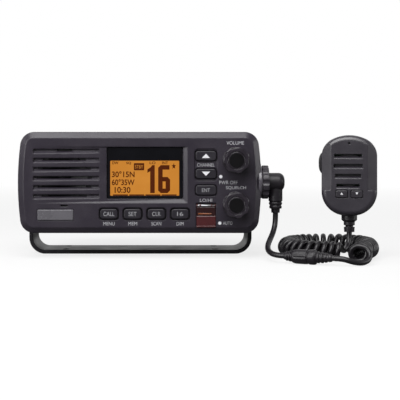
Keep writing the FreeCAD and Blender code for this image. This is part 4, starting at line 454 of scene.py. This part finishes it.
# Liquid crystal segments that are on: red-brown, since the amber light leaks through them.
segment_dark = moulded(
    "dark_crystal_segments", "#4e2009", "#54240c",
    roughness=0.5, grain=3.0, depth=0.0, cloud=40.0, specular=0.05)
SEGMENT_BACK = PANE_FACE - 0.01
SEGMENT_FACE = PANE_FACE - 0.06
NUMERAL_STROKE = 3.3
six = [(22.2, 68.05), (16.5, 68.05), (15.5, 67.1), (15.5, 51.65), (16.45, 50.7), (20.05, 50.7),
       (21.0, 51.65), (21.0, 58.35), (20.05, 59.3), (17.15, 59.3)]
show("numeral_six", stroke(six, NUMERAL_STROKE, SEGMENT_BACK, SEGMENT_FACE), segment_dark, "radio")
one = np.array([(11.3, 49.05), (11.3, 69.7), (9.4, 69.7), (8.3, 68.2), (5.9, 66.6), (5.9, 64.0),
                (7.95, 65.2), (7.95, 49.05)])
show("numeral_one", slip(one, SEGMENT_BACK, SEGMENT_FACE), segment_dark, "radio")
# A five-pointed star: its ten corners go round at one reach and at the waist's share of it in turn.
STAR_X = 25.4
STAR_Z = 68.9
STAR_HALF_WIDTH = 1.75
STAR_HALF_HEIGHT = 2.35
STAR_WAIST = 0.42
turn = np.arange(10) * math.pi / 5
reach = np.where(np.arange(10) % 2, STAR_WAIST, 1.0)
star = np.stack([STAR_X + STAR_HALF_WIDTH * reach * np.sin(turn),
                 STAR_Z + STAR_HALF_HEIGHT * reach * np.cos(turn)], axis=1)
show("memory_star", slip(star, SEGMENT_BACK, SEGMENT_FACE), segment_dark, "radio")
DASH_FIRST = -19.6
DASH_PITCH = 12.0
DASH_LENGTH = 11.1
DASH_Z = 47.6
DASH_WIDTH = 0.9
for i in range(4):
    left = DASH_FIRST + DASH_PITCH * i
    dash = [(left, DASH_Z), (left + DASH_LENGTH, DASH_Z)]
    mesh = stroke(dash, DASH_WIDTH, SEGMENT_BACK, SEGMENT_FACE)
    show(f"edge_dash_{i + 1}", mesh, segment_dark, "radio")
READING_BOLD = 0.02
# Each reading: its name, its words, its centre (x, z), its height and its width.
readings = [
    ("bearing_north", "30°15N", (-12.0, 63.0), 4.5, 16.8),
    ("bearing_west", "60°35W", (-12.0, 57.1), 4.5, 16.8),
    ("clock_reading", "10:30", (-12.5, 51.4), 4.4, 11.7),
    ("volume_mark", "DW", (-17.8, 71.4), 2.1, 4.5), ("scan_mark", "SQ", (-8.0, 71.2), 2.1, 3.6),
    ("power_mark", "LO", (9.7, 71.4), 2.0, 4.4), ("band_mark", "INT", (18.9, 71.4), 2.1, 4.4)]
for name, words, centre, height, width in readings:
    mesh = lettering(words, centre, height, width, SEGMENT_FACE, bold=READING_BOLD)
    show(name, mesh, segment_dark, "radio")
mode_outline = rounded(left=-4.1, right=3.5, foot=65.9, top=71.2, corner=0.5)
show("mode_box", slip(mode_outline, SEGMENT_BACK, SEGMENT_FACE), segment_dark, "radio")
mode_mark = lettering("STBY", centre=(-0.3, 68.5), height=2.6, width=6.0, y=SEGMENT_FACE - 0.01)
show("mode_mark", mode_mark, lit_amber, "radio")

# Clear glass and moulded light guide, hidden behind the pane: pale, smooth and even.
guide_acrylic = moulded(
    "frosted_light_guide", "#c9c6bd", "#d8d5cc", roughness=0.25, grain=1.5, depth=0.01, cloud=12.0)
dress(guide_acrylic, "backlight")
crystal_glass = moulded(
    "amber_filter_glass", "#5b4020", "#6a4b27", roughness=0.1, grain=4.0, depth=0.002, cloud=12.0)
dress(crystal_glass, "display_glass")


# ---- Function keys ---------------------------------------
# Four keycaps under the display, moulded ABS on the rubber mat, each in its own opening,
# with its name pad-printed on it and its second use printed on the panel below.
# Satin ABS: blacker and a little smoother than the panel.
key_abs = moulded("satin_black_abs", "#232027", "#2c2930", roughness=0.34, grain=0.8, depth=0.015, edge=0.6)
dress(key_abs, *[f"function_key_{i}" for i in (1, 2, 3, 4)])
# Pad-printing ink: a thin matt light grey, slightly uneven where the pad lifted.
print_ink = moulded(
    "pale_printing_ink", "#acacb0", "#bebec2", roughness=0.6, grain=0.6, depth=0.004, edge=0.03, cloud=3.0)
key_ink = moulded(
    "grey_printing_ink", "#98989c", "#aaaaae", roughness=0.6, grain=0.6, depth=0.004, edge=0.03, cloud=3.0)


def front_of(name):
    """The middle (x, z) of a named part as it is seen from the front, and the y of its front."""
    low, high = corners(name)
    middle = (low + high) / 2
    return (middle[0], middle[2]), low[1]


PANEL_FACE = front_of("front_panel")[1]
NAME_HEIGHT = 3.1
SECOND_USE_HEIGHT = 2.6
SECOND_USE_ROW = 26.5
# Each key: its name and its width, then its second use and its width.
key_uses = [
    ("CALL", 8.1, "MENU", 8.3), ("SET", 5.9, "MEM", 6.6), ("CLR", 6.1, "SCAN", 7.2), ("16", 4.4, "DIM", 5.2)]
for i, (first, first_width, second, second_width) in enumerate(key_uses, 1):
    centre, face = front_of(f"function_key_{i}")
    mesh = lettering(first, centre, NAME_HEIGHT, first_width, face)
    show(f"key_{i}_name", mesh, key_ink, f"function_{i}")
    below = (centre[0], SECOND_USE_ROW)
    mesh = lettering(second, below, SECOND_USE_HEIGHT, second_width, PANEL_FACE)
    show(f"key_{i}_second_use", mesh, print_ink, "radio")


# ---- Channel and enter keys ------------------------------
# Three more keycaps of the same ABS in a column: channel up and down with printed arrows, and
# enter with its name.
dress(key_abs, "up_key", "down_key", "enter_key")
INK_SUNK = 0.1


def arrow(centre, width, height, y):
    """A solid triangle of that width and height, its point up, or down for a negative height. It
    reaches into the surface at y by the sunk depth and stands out of it by the ink's lift."""
    x, z = centre
    flat = np.array([(x - width / 2, z - height / 2), (x + width / 2, z - height / 2), (x, z + height / 2)])
    return slip(flat, y + INK_SUNK, y - INK_LIFT)


# Bright printing ink: the same ink in white, so that the arrows stand out.
white_ink = moulded(
    "white_printing_ink", "#e6e6ea", "#f2f2f5", roughness=0.55, grain=0.6, depth=0.004, edge=0.03, cloud=3.0)
ARROW_WIDTH = 6.1
ARROW_HEIGHT = 3.2
for way, tall in (("up", ARROW_HEIGHT), ("down", -ARROW_HEIGHT)):
    centre, face = front_of(f"{way}_key")
    show(f"{way}_arrow", arrow(centre, ARROW_WIDTH, tall, face), white_ink, way)
centre, face = front_of("enter_key")
enter_name = lettering("ENT", centre, height=2.7, width=5.9, y=face)
show("enter_key_name", enter_name, key_ink, "enter")


# ---- Control knobs ---------------------------------------
# Volume and squelch: lobed soft-touch knobs pushed on the steel shafts of two encoders.
# Soft-touch rubber over ABS: matt black, its highlights broad and grey.
knob_rubber = moulded(
    "soft_touch_black_rubber", "#221c25", "#2a242d",
    roughness=0.2, grain=1.0, depth=0.01, edge=0.6, specular=0.9)
dress(knob_rubber, "volume_knob", "squelch_knob")


def circle(across, up, radius, count):
    """Points round a centre in a flat outline: the centre plus radius times (cos, sin) of the turn."""
    turn = np.arange(count) / count * 2 * math.pi
    return np.stack([across + radius * np.cos(turn), up + radius * np.sin(turn)], axis=1)


# A dot's profile: each ring's share of the radius and its lift off the surface.
dot_profile = [(1.0, -0.1), (1.0, 0.04), (0.9, 0.08), (0.5, 0.1)]


def dot(centre, radius, y):
    """A low disc with an eased rim: rings at shares of the radius, each lifted by its height off y."""
    rings = [outline_at(circle(*centre, radius * reach, 48), y - lift) for reach, lift in dot_profile]
    return loops(rings, closed=False)


# The insert in each knob's top: the same rubber, coloured much darker as painted shade for the knob's dished
# middle.
dish_painted_shade = moulded(
    "black_rubber_painted_shade", "#09080a", "#0d0c0e", roughness=0.3, grain=1.6, depth=0.006, specular=0.3)
INSERT_RADIUS = 5.5
for name in ("volume", "squelch"):
    centre, face = front_of(f"{name}_knob")
    show(f"{name}_insert", dot(centre, INSERT_RADIUS, face), dish_painted_shade, name)

# Turned steel: bright grey with fine lathe lines across the axis.
turned_steel = metal(
    "turned_steel", "#8f9093", "#a9aaad", roughness=0.32, scratch=3.0, depth=0.004, stretch=(1.0, 12.0, 1.0))
dress(turned_steel, "volume_shaft", "squelch_shaft", "radio_screws", "mic_screws", "left_clamp_stud",
      "right_clamp_stud")


# ---- Printed legends -------------------------------------
# The names and marks beside the controls, pad-printed on the panel in the same pale ink. The
# name between the channel keys stands in their shallow recess.
RECESS_FACE = PANEL_FACE + 0.5
# Each legend: its name, its words, its centre (x, z), its height, its width and its y.
legends = [
    ("volume_legend", "VOLUME", (70.8, 86.1), 2.6, 12.9, PANEL_FACE),
    ("channel_legend", "CHANNEL", (49.1, 69.9), 2.5, 12.9, RECESS_FACE),
    ("off_legend", "PWR OFF", (65.7, 56.9), 2.6, 13.5, PANEL_FACE),
    ("squelch_legend", "SQUELCH", (71.3, 52.9), 2.6, 14.8, PANEL_FACE),
    ("power_legend", "LO/HI", (49.2, 43.8), 2.4, 9.0, PANEL_FACE),
    ("auto_legend", "AUTO", (65.2, 26.9), 2.4, 7.0, PANEL_FACE)]
for name, words, centre, height, width, y in legends:
    show(name, lettering(words, centre, height, width, y), print_ink, "radio")
for name, centre, radius in (("off_dot", (60.1, 61.2), 1.25), ("auto_dot", (59.3, 26.9), 1.2)):
    show(name, dot(centre, radius, PANEL_FACE), white_ink, "radio")


# ---- Port flap -------------------------------------------
# A smoky red flap covers the data socket: a thin window above a thicker grip with a lip at its
# foot, and four knuckles at its top that turn on a steel rod.
flap_low, flap_high = corners("port_flap")
FLAP_GAP = 0.1
FLAP_LEFT = flap_low[0] + FLAP_GAP
FLAP_RIGHT = flap_high[0] - FLAP_GAP
_, ROD_Y, ROD_Z = sum(corners("flap_pin")) / 2
ROD_RADIUS = 0.55
ROD_PAST = 0.15
KNUCKLE_RADIUS = 1.2


def bar(outline, left, right, ease=0.25):
    """An outline in (y, z) carried along x from left to right, drawn in by the ease at both ends."""
    outline = np.array(outline, float)
    middle = outline.mean(axis=0)
    reach = outline - middle
    drawn = middle + reach * (1 - ease / np.abs(reach).max(axis=0))
    rings = [np.column_stack([np.full(len(flat), x), flat]) for x, flat in (
        (left, drawn), (left + ease, outline), (right - ease, outline), (right, drawn))]
    return loops(rings, closed=False)


FLOW_SIZE = 4.0


def clear_red(name, dark, light, through):
    """Dyed polycarbonate: noise of the flow marks' size turns the dye from dark to light, and the
    share that is let through is transmitted. Its surface is glossy and even."""
    material, tree = blank(name)
    place = add(tree, "TexCoord").outputs["Object"]
    flow = add(tree, "TexNoise", {"Vector": place, "Scale": 1 / (FLOW_SIZE * MM), "Detail": 3.0})
    dye = add(tree, "MixRGB", {
        "Fac": flow.outputs["Fac"], "Color1": srgb(dark), "Color2": srgb(light)})
    soft = add(tree, "Bevel", {"Radius": 0.3 * MM}, samples=4)
    surface = add(tree, "BsdfPrincipled", {
        "Base Color": dye.outputs["Color"], "Roughness": 0.2, "IOR": 1.58,
        "Transmission Weight": through, "Normal": soft.outputs["Normal"]})
    add(tree, "OutputMaterial", {"Surface": surface.outputs["BSDF"]})
    return material


# The thin window lets the dark socket show and the grip is thick enough to look maroon. The amber strip
# across the window is a painted highlight: the lit edge of the window's step, coloured in.
window_red = clear_red("smoky_red_polycarbonate", "#2a1012", "#3a181a", through=0.3)
grip_red = clear_red("thick_red_polycarbonate", "#451b1e", "#5c282b", through=0.15)
painted_lip_highlight = clear_red("painted_highlight_on_window_lip", "#8a4c2c", "#a3603a", through=0.1)
window_outline = [(-61.95, 38.9), (-62.8, 38.9), (-62.95, 38.6), (-62.95, 31.4), (-61.95, 31.4)]
show("flap_window", bar(window_outline, FLAP_LEFT, FLAP_RIGHT), window_red, "flap")
grip_outline = [(-61.95, 32.2), (-63.1, 32.2), (-63.4, 31.8), (-63.4, 24.9), (-63.9, 24.6),
                (-63.9, 24.0), (-63.6, 23.65), (-61.95, 23.65)]
flap_grip = show("flap_grip", bar(grip_outline, FLAP_LEFT, FLAP_RIGHT), grip_red, "flap")
# The strip below is painted light: an amber bar where light catches the lip of the window's step.
STRIP_LEFT = 43.4
STRIP_RIGHT = 53.2
strip_outline = [(-62.8, 34.3), (-63.15, 34.3), (-63.25, 34.1), (-63.25, 33.5), (-62.8, 33.4)]
strip = bar(strip_outline, STRIP_LEFT, STRIP_RIGHT, ease=0.1)
show("flap_highlight_strip", strip, painted_lip_highlight, "flap")
knuckle_ends = [(FLAP_LEFT, 42.9), (44.6, 45.4), (53.0, 53.8), (55.5, FLAP_RIGHT)]
for i, (left, right) in enumerate(knuckle_ends, 1):
    knuckle = bar(circle(ROD_Y, ROD_Z, KNUCKLE_RADIUS, 20), left, right, ease=0.15)
    show(f"flap_knuckle_{i}", knuckle, grip_red, "flap")
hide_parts("port_flap")
# Moulded nylon: black with a dry, low sheen, so the sockets look like dark openings.
socket_nylon = moulded("black_nylon", "#1a1a1c", "#242427", roughness=0.42, grain=1.0, depth=0.01)
dress(socket_nylon, "data_socket", "dc_inlet", "mic_socket", "encoders")
# Polished steel rod: bright, because it mirrors the lamp above it.
rod_steel = metal(
    "polished_steel_rod", "#cfcfd2", "#e2e2e5",
    roughness=0.36, scratch=1.5, depth=0.002, stretch=(1.0, 6.0, 6.0))
rod_outline = circle(ROD_Y - 0.1, ROD_Z, ROD_RADIUS, 20)
rod_mesh = bar(rod_outline, FLAP_LEFT - ROD_PAST, FLAP_RIGHT + ROD_PAST, ease=0.2)
rod = show("flap_rod", rod_mesh, rod_steel, "radio", smooth=True)
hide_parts("flap_pin")


# ---- Chassis and cover -----------------------------------
# A finned aluminium die casting carries everything, closed by a pressed steel cover. Both
# are powder-coated in black.
# Powder coat: satin black with the soft pebble that melted powder leaves, drawn at 1.2 mm.
chassis_coat = moulded(
    "black_powder_coat", "#232225", "#2c2b2e", roughness=0.44, grain=1.2, depth=0.05, edge=0.5)
dress(chassis_coat, "chassis", "top_cover")


# ---- Rear sockets ----------------------------------------
# The antenna socket and its square flange are plated brass. The power inlet beside it is
# moulded from the same nylon as the data socket.
# Bright nickel plate: a warm light grey mirror, a little blurred by fine polishing marks.
socket_plating = metal("bright_nickel_plate", "#b3b0aa", "#c8c5c0", roughness=0.2, scratch=2.0, depth=0.003)
dress(socket_plating, "antenna_socket")


# ---- Inside the radio ------------------------------------
# Two main circuit boards and the microphone's small one, with a tinned shield over the
# radio stage, a moulded power module, brass inserts and rubber washers.
RUN_SPACING = 3.2
PAD_SPACING = 1.6


def board(name):
    """Solder mask: cells at the runs' spacing mark the copper under it, where the distance from a
    cell's middle passes a limit, and cells at the pads' spacing the tinned pads, near their middles."""
    material, tree = blank(name)
    place = add(tree, "TexCoord").outputs["Object"]
    runs = add(tree, "TexVoronoi", {
        "Vector": place, "Scale": 1 / (RUN_SPACING * MM)}, distance="MANHATTAN", feature="F1")
    pads = add(tree, "TexVoronoi", {
        "Vector": place, "Scale": 1 / (PAD_SPACING * MM)}, distance="CHEBYCHEV", feature="F1")
    trace = add(tree, "MapRange", {"Value": runs.outputs["Distance"], "From Min": 0.5, "From Max": 0.56})
    spot = add(tree, "MapRange", {
        "Value": pads.outputs["Distance"], "From Min": 0.16, "From Max": 0.12})
    green = add(tree, "MixRGB", {
        "Fac": trace.outputs["Result"], "Color1": srgb("#1c4a2c"), "Color2": srgb("#2b6540")})
    tinned = add(tree, "MixRGB", {
        "Fac": spot.outputs["Result"], "Color1": green.outputs["Color"], "Color2": srgb("#a8a898")})
    relief = add(tree, "Bump", {"Height": trace.outputs["Result"], "Distance": 0.05 * MM})
    surface = add(tree, "BsdfPrincipled", {
        "Base Color": tinned.outputs["Color"], "Roughness": 0.3, "Normal": relief.outputs["Normal"]})
    add(tree, "OutputMaterial", {"Surface": surface.outputs["BSDF"]})
    return material


# Fibreglass board: glossy green mask over copper runs, with tinned pads.
dress(board("green_solder_mask"), "main_board", "front_board", "mic_board")
# Tinned steel: bright, and brushed by rolling.
tinned_steel = metal(
    "tinned_steel", "#a4a5a6", "#bcbdbe", roughness=0.28, scratch=2.5, depth=0.003, stretch=(1.0, 10.0, 1.0))
dress(tinned_steel, "shield_can")
# Turned brass: yellow, with fine lathe rings.
turned_brass = metal(
    "turned_brass", "#a88a4c", "#c2a35f", roughness=0.3, scratch=2.0, depth=0.004, stretch=(1.0, 8.0, 1.0))
dress(turned_brass, "threaded_inserts")
# Moulded epoxy: even black with a low gloss.
module_epoxy = moulded("black_epoxy", "#1f1f21", "#29292c", roughness=0.38, grain=0.8, depth=0.01)
dress(module_epoxy, "power_module")
dress(seal_rubber, "tilt_washers")


# ---- Mounting bracket ------------------------------------
# A steel strap bent to a U, drilled for the two clamp knobs and the deck screws, and
# powder-coated. The knobs are ribbed nylon moulded round steel studs.
# Powder coat: a blacker, smoother satin than the chassis has, its pebble drawn at 1.2 mm.
bracket_coat = moulded(
    "satin_black_powder_coat", "#18161b", "#211f24",
    roughness=0.42, grain=1.2, depth=0.04, edge=0.5, specular=0.38)
dress(bracket_coat, "mounting_bracket")
# Moulded nylon: matt dark grey, its ribs softened at their edges.
clamp_nylon = moulded(
    "ribbed_black_nylon", "#222124", "#2c2b2e", roughness=0.45, grain=1.0, depth=0.02, edge=0.5)
dress(clamp_nylon, "left_clamp_knob", "right_clamp_knob")


# ---- Microphone socket, ring and plug --------------------
# A moulded boss rings the socket on the panel's side. A dark plated ring nut locks the
# moulded angle plug to it, and the connector along the lead is moulded from the same PVC.
_, SOCKET_Y, SOCKET_Z = sum(corners("mic_socket")) / 2
# The boss's profile: each ring's x and its radius.
boss_profile = [(88.2, 9.8), (88.2, 12.0), (88.5, 12.3), (90.4, 12.3), (91.0, 12.0), (91.3, 11.3),
                (91.3, 9.8)]
boss_mesh = loops([
    np.column_stack([np.full(64, x), circle(SOCKET_Y, SOCKET_Z, radius, 64)])
    for x, radius in boss_profile], closed=True)
# The same ABS as the panel, moulded smooth, but coloured much paler: a painted highlight for the light on its
# rim.
boss_painted_highlight = moulded(
    "charcoal_abs_painted_highlight", "#534f57", "#5d5961",
    roughness=0.26, grain=1.2, depth=0.008, edge=0.8, specular=0.9)
show("socket_boss", boss_mesh, boss_painted_highlight, "radio")
# Black-nickel plate over brass, lacquered: dark, with a soft grey sheen along its ribs.
ring_plate = moulded(
    "black_nickel_lacquer", "#312d34", "#3d3940", roughness=0.3, grain=1.5, depth=0.006, edge=0.7)
dress(ring_plate, "coupling_ring")
# Moulded PVC: nearly black, with a low sheen and a faint orange peel.
plug_pvc = moulded(
    "moulded_black_pvc", "#18141a", "#201c22", roughness=0.42, grain=1.4, depth=0.012, edge=0.6)
dress(plug_pvc, "mic_plug", "mic_strain_relief")


def lathe(start, end, profile, flutes, depth, fluted, count=48):
    """A profile of (distance, radius) carried round the line from start to end. Between the fluted
    distances the radius is scaled by 1 - depth (1 + cos(flutes times the turn)) / 2."""
    start, end = np.array(start, float), np.array(end, float)
    ahead = (end - start) / np.linalg.norm(end - start)
    across = np.cross(ahead, (0.0, 0.0, 1.0))
    across /= np.linalg.norm(across)
    above = np.cross(across, ahead)
    turn = np.arange(count) / count * 2 * math.pi
    distance, radius = np.array(profile, float).T
    inside = (distance >= fluted[0]) & (distance <= fluted[1])
    scale = 1 - depth * inside[:, None] * (1 + np.cos(flutes * turn))[None, :] / 2
    reach = radius[:, None] * scale
    rings = (start + distance[:, None, None] * ahead
             + (reach * np.cos(turn))[:, :, None] * across + (reach * np.sin(turn))[:, :, None] * above)
    return loops(rings, closed=False)


# The connector's ends on the cord, and its profile: each ring's distance and its radius.
LEAD_END = (104.0, -88.0, 5.4)
FEED_START = (136.0, -104.0, 5.4)
connector_profile = [
    (0.0, 2.1), (0.3, 2.6), (1.6, 2.8), (1.9, 3.4), (3.0, 3.5), (3.3, 2.9), (3.9, 2.9), (4.2, 3.8),
    (5.3, 3.9), (5.6, 3.2), (6.2, 3.2), (6.5, 4.3), (7.4, 4.7), (8.6, 5.05), (10.5, 5.2), (13.5, 5.25),
    (16.5, 5.25), (17.6, 5.1), (18.0, 4.6), (18.5, 4.6), (18.9, 5.15), (20.2, 5.35), (22.6, 5.35),
    (23.6, 5.1), (24.2, 4.2), (24.8, 3.7), (25.2, 4.1), (26.4, 4.1), (26.8, 3.4), (27.5, 3.4),
    (27.9, 3.9), (29.1, 3.9), (29.5, 3.1), (30.2, 3.1), (30.6, 3.5), (31.8, 3.4), (32.2, 2.8),
    (33.2, 2.8), (33.6, 3.0), (35.2, 2.7), (35.78, 2.1)]
connector_mesh = lathe(LEAD_END, FEED_START, connector_profile, flutes=12, depth=0.06, fluted=(8.0, 17.0))
connector = show("lead_connector", connector_mesh, plug_pvc, "bracket")
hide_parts("inline_connector")


# ---- Hand microphone -------------------------------------
# Two ABS shells screwed together, with a rubber talk button at the side, two small rubber
# keys low on the face, and a hanger button on the back.
# Grained ABS: charcoal like the panel, with a stronger sheen from handling.
mic_abs = moulded(
    "grained_black_abs", "#2a262e", "#332f37", roughness=0.34, grain=0.9, depth=0.02, edge=0.8, specular=0.9)
dress(mic_abs, "mic_front_shell", "mic_rear_shell")
# Soft rubber: matt, a little blacker than the shells.
mic_rubber = moulded(
    "soft_black_rubber", "#19181b", "#232225", roughness=0.45, grain=1.0, depth=0.015, edge=0.5, specular=0.4)
dress(mic_rubber, "hanger_button")
# The two small keys: the same rubber dyed to the shells' tone.
mic_key_rubber = moulded(
    "charcoal_key_rubber", "#262229", "#2e2a31",
    roughness=0.38, grain=1.0, depth=0.015, edge=0.5, specular=0.7)
dress(mic_key_rubber, "mic_up_key", "mic_down_key")
# The microphone turns about the upright line through the strain relief at its foot.
MIC_X, MIC_Y, _ = sum(corners("mic_strain_relief")) / 2
MIC_TURN = math.radians(-10)


def in_hand(mesh):
    """Turns a mesh about the vertical by the microphone's turn and moves it to the microphone."""
    points = np.empty(len(mesh.vertices) * 3, np.float32)
    mesh.vertices.foreach_get("co", points)
    x, y, z = points.reshape(-1, 3).T / MM
    turned = np.stack([
        MIC_X + x * math.cos(MIC_TURN) - y * math.sin(MIC_TURN),
        MIC_Y + x * math.sin(MIC_TURN) + y * math.cos(MIC_TURN), z], axis=1)
    mesh.vertices.foreach_set("co", (turned * MM).astype(np.float32).ravel())
    return mesh


# The talk button: rounded sections stacked up z. With the height from -1 to 1, the outer side draws
# in by the cube of its size times the bow, and the depth by its fourth power times the taper.
BUTTON_MIDDLE = 71.1
BUTTON_HALF_LENGTH = 7.5
BUTTON_OUTER = -22.55
BUTTON_INNER = -17.7
BUTTON_BOW = 1.9
BUTTON_HALF_DEPTH = 4.4
BUTTON_TAPER = 0.7
BUTTON_CORNER = 1.3
button_rings = []
for height in np.linspace(-1.0, 1.0, 21):
    outer = BUTTON_OUTER + BUTTON_BOW * abs(height) ** 3
    half = BUTTON_HALF_DEPTH - BUTTON_TAPER * abs(height) ** 4
    section = rounded(outer, BUTTON_INNER, -half, half, BUTTON_CORNER)
    z = BUTTON_MIDDLE + BUTTON_HALF_LENGTH * height
    button_rings.append(np.column_stack([section, np.full(len(section), z)]))
talk_mesh = in_hand(loops(button_rings, closed=False))
talk = show("talk_button", talk_mesh, mic_rubber, "ptt")
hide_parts("ptt_button")
MIC_KEY_FACE = -12.7
MIC_KEY_X = 5.5
MIC_KEY_Z = 48.9
MIC_ARROW_WIDTH = 2.0
MIC_ARROW_HEIGHT = 1.7
for way, x, tall in (("up", -MIC_KEY_X, MIC_ARROW_HEIGHT), ("down", MIC_KEY_X, -MIC_ARROW_HEIGHT)):
    mesh = in_hand(arrow((x, MIC_KEY_Z), MIC_ARROW_WIDTH, tall, MIC_KEY_FACE))
    show(f"mic_{way}_arrow", mesh, white_ink, f"mic_{way}")


# ---- Cords -----------------------------------------------
# One round PVC cord: a short lead from the angle plug to the in-line connector, then the
# curly cord, heat-set in close turns, and its straight tail up into the microphone.
def tube(route, radius, smoothness):
    """A round tube on the NURBS spline whose control points are the route; also the points of its line."""
    meshes = []
    for section in (radius, 0.0):
        curve = bpy.data.curves.new("cord", "CURVE")
        curve.dimensions = "3D"
        curve.resolution_u = smoothness
        curve.bevel_depth = section * MM
        curve.bevel_resolution = 6
        curve.use_fill_caps = section > 0
        spline = curve.splines.new("NURBS")
        spline.points.add(len(route) - 1)
        points = np.column_stack([np.array(route, float) * MM, np.ones(len(route))])
        spline.points.foreach_set("co", points.ravel())
        spline.order_u = 3
        spline.use_endpoint_u = True
        spline.resolution_u = smoothness
        holder = bpy.data.objects.new("cord", curve)
        meshes.append(bpy.data.meshes.new_from_object(holder))
        bpy.data.objects.remove(holder)
    line = np.empty(len(meshes[1].vertices) * 3, np.float32)
    meshes[1].vertices.foreach_get("co", line)
    return meshes[0], line.reshape(-1, 3) / MM


CORD_RADIUS = 2.0
lead_route = [
    (101.8, -50.6, 33.9), (101.8, -50.6, 27.0), (100.0, -54.4, 20.4), (96.8, -61.0, 15.0),
    (94.0, -69.2, 11.2), (93.6, -77.0, 7.6), (97.7, -84.85, 5.4), LEAD_END]
# The feed's first turn, set so that it rises from the table into the curly cord.
feed_route = [
    FEED_START, (142.7, -107.35, 5.4), (149.5, -107.7, 3.0), (156.0, -105.9, 2.1),
    (161.2, -102.4, 3.2), (163.6, -99.2, 7.2), (161.9, -96.9, 11.6)]
coil_route = [
    (155.8, -95.0, 7.6), (160.2, -80.0, 7.6), (168.5, -64.0, 7.6), (173.5, -46.0, 7.6),
    (171.5, -27.0, 7.6), (159.0, -13.0, 7.6), (141.0, -9.5, 7.6), (123.5, -17.0, 7.6),
    (113.0, -33.0, 7.6), (110.8, -52.0, 7.6), (118.0, -67.0, 7.6), (131.0, -75.6, 7.6),
    (145.0, -77.8, 7.6)]
tail_route = [
    (156.7, -53.0, 19.7), (156.7, -53.0, 14.7), (155.4, -55.4, 10.0), (153.1, -59.6, 7.4),
    (149.6, -67.4, 6.6), (144.4, -75.4, 7.4)]
# Plasticised PVC: soft black with a dull sheen and fine drag marks, drawn 1.5 mm wide.
cord_pvc = moulded(
    "satin_black_cord_pvc", "#110e13", "#18151a",
    roughness=0.36, grain=1.5, depth=0.01, edge=0.05, cloud=10.0)

# The lead lies still from the in-line connector up to the plug.
lead_mesh, lead_points = tube(lead_route, CORD_RADIUS, smoothness=8)
lead_line = show("lead_line", lead_mesh, cord_pvc, None, smooth=True)
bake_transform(lead_line)
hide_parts("lead_cord")

# The curly cord: its turns' radius round the middle line of its ring, and their pitch at shares of
# the way along. The pitch opens by BEND_SHARE of what a bend takes from the turns' inner side, and
# the bend is read at SAMPLES points and smoothed over SMOOTHED of them.
COIL_RADIUS = 5.5
COIL_PITCH = ([0.0, 0.35, 0.6, 1.0], [4.4, 5.3, 4.9, 4.5])
COIL_START = math.radians(75)
BEND_SHARE = 0.85
SAMPLES = 1200
SMOOTHED = 81
WAVER = 0.02
WAVER_RATE = 0.37


def helix(line, radius, pitch, start_turn, per_turn=16):
    """Points round a line: the turn grows by the length over the pitch, and each point is the line
    plus radius times (cos turn) across it and (sin turn) upwards. The radius wavers a little."""
    step = np.linalg.norm(np.diff(line, axis=0), axis=1)
    along = np.concatenate([[0], np.cumsum(step)])
    even = np.linspace(0, along[-1], SAMPLES)
    centre = np.stack([np.interp(even, along, line[:, i]) for i in range(3)], axis=1)
    ahead = np.gradient(centre, axis=0)
    ahead /= np.linalg.norm(ahead, axis=1)[:, None]
    bend = np.linalg.norm(np.gradient(ahead, axis=0), axis=1) / (even[1] - even[0])
    window = np.ones(SMOOTHED) / SMOOTHED
    bend = np.convolve(np.pad(bend, SMOOTHED // 2, mode="edge"), window, mode="valid")
    pitches = np.interp(even / even[-1], *pitch) / (1 - radius * bend * BEND_SHARE)
    turn = np.concatenate([[0], np.cumsum((even[1] - even[0]) / pitches[:-1])])
    count = int(turn[-1] * per_turn)
    where = np.interp(np.arange(count + 1) / per_turn, turn, even)
    middle = np.stack([np.interp(where, even, centre[:, i]) for i in range(3)], axis=1)
    forward = np.stack([np.interp(where, even, ahead[:, i]) for i in range(3)], axis=1)
    across = np.cross(forward, (0.0, 0.0, 1.0))
    across /= np.linalg.norm(across, axis=1)[:, None]
    angle = start_turn + np.arange(count + 1) / per_turn * 2 * math.pi
    # The spline cuts inside its points by this share, so they stand that much further out.
    reach = radius / (0.75 + 0.25 * math.cos(2 * math.pi / per_turn))
    reach = reach * (1 - WAVER + WAVER * np.sin(angle * WAVER_RATE))
    return middle + reach[:, None] * (
        np.cos(angle)[:, None] * across + np.sin(angle)[:, None] * np.array([0.0, 0.0, 1.0]))


_, coil_line = tube(coil_route, 0.0, smoothness=24)
turns = helix(coil_line, COIL_RADIUS, COIL_PITCH, COIL_START)
split = (turns[-1] + np.array(tail_route[-2])) / 2
curly_route = np.vstack([feed_route, turns, split])
curly_mesh, curly_points = tube(curly_route, CORD_RADIUS, smoothness=3)
curly_line = show("curly_line", curly_mesh, cord_pvc, "bracket", smooth=True)
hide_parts("feed_cord", "curly_cord")

# The tail lies still, from the microphone's strain relief down into the curly cord.
tail_mesh, tail_points = tube(tail_route[:-1] + [tuple(split)], CORD_RADIUS, smoothness=8)
tail_line = show("tail_line", tail_mesh, cord_pvc, None, smooth=True)
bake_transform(tail_line)
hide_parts("tail_cord")
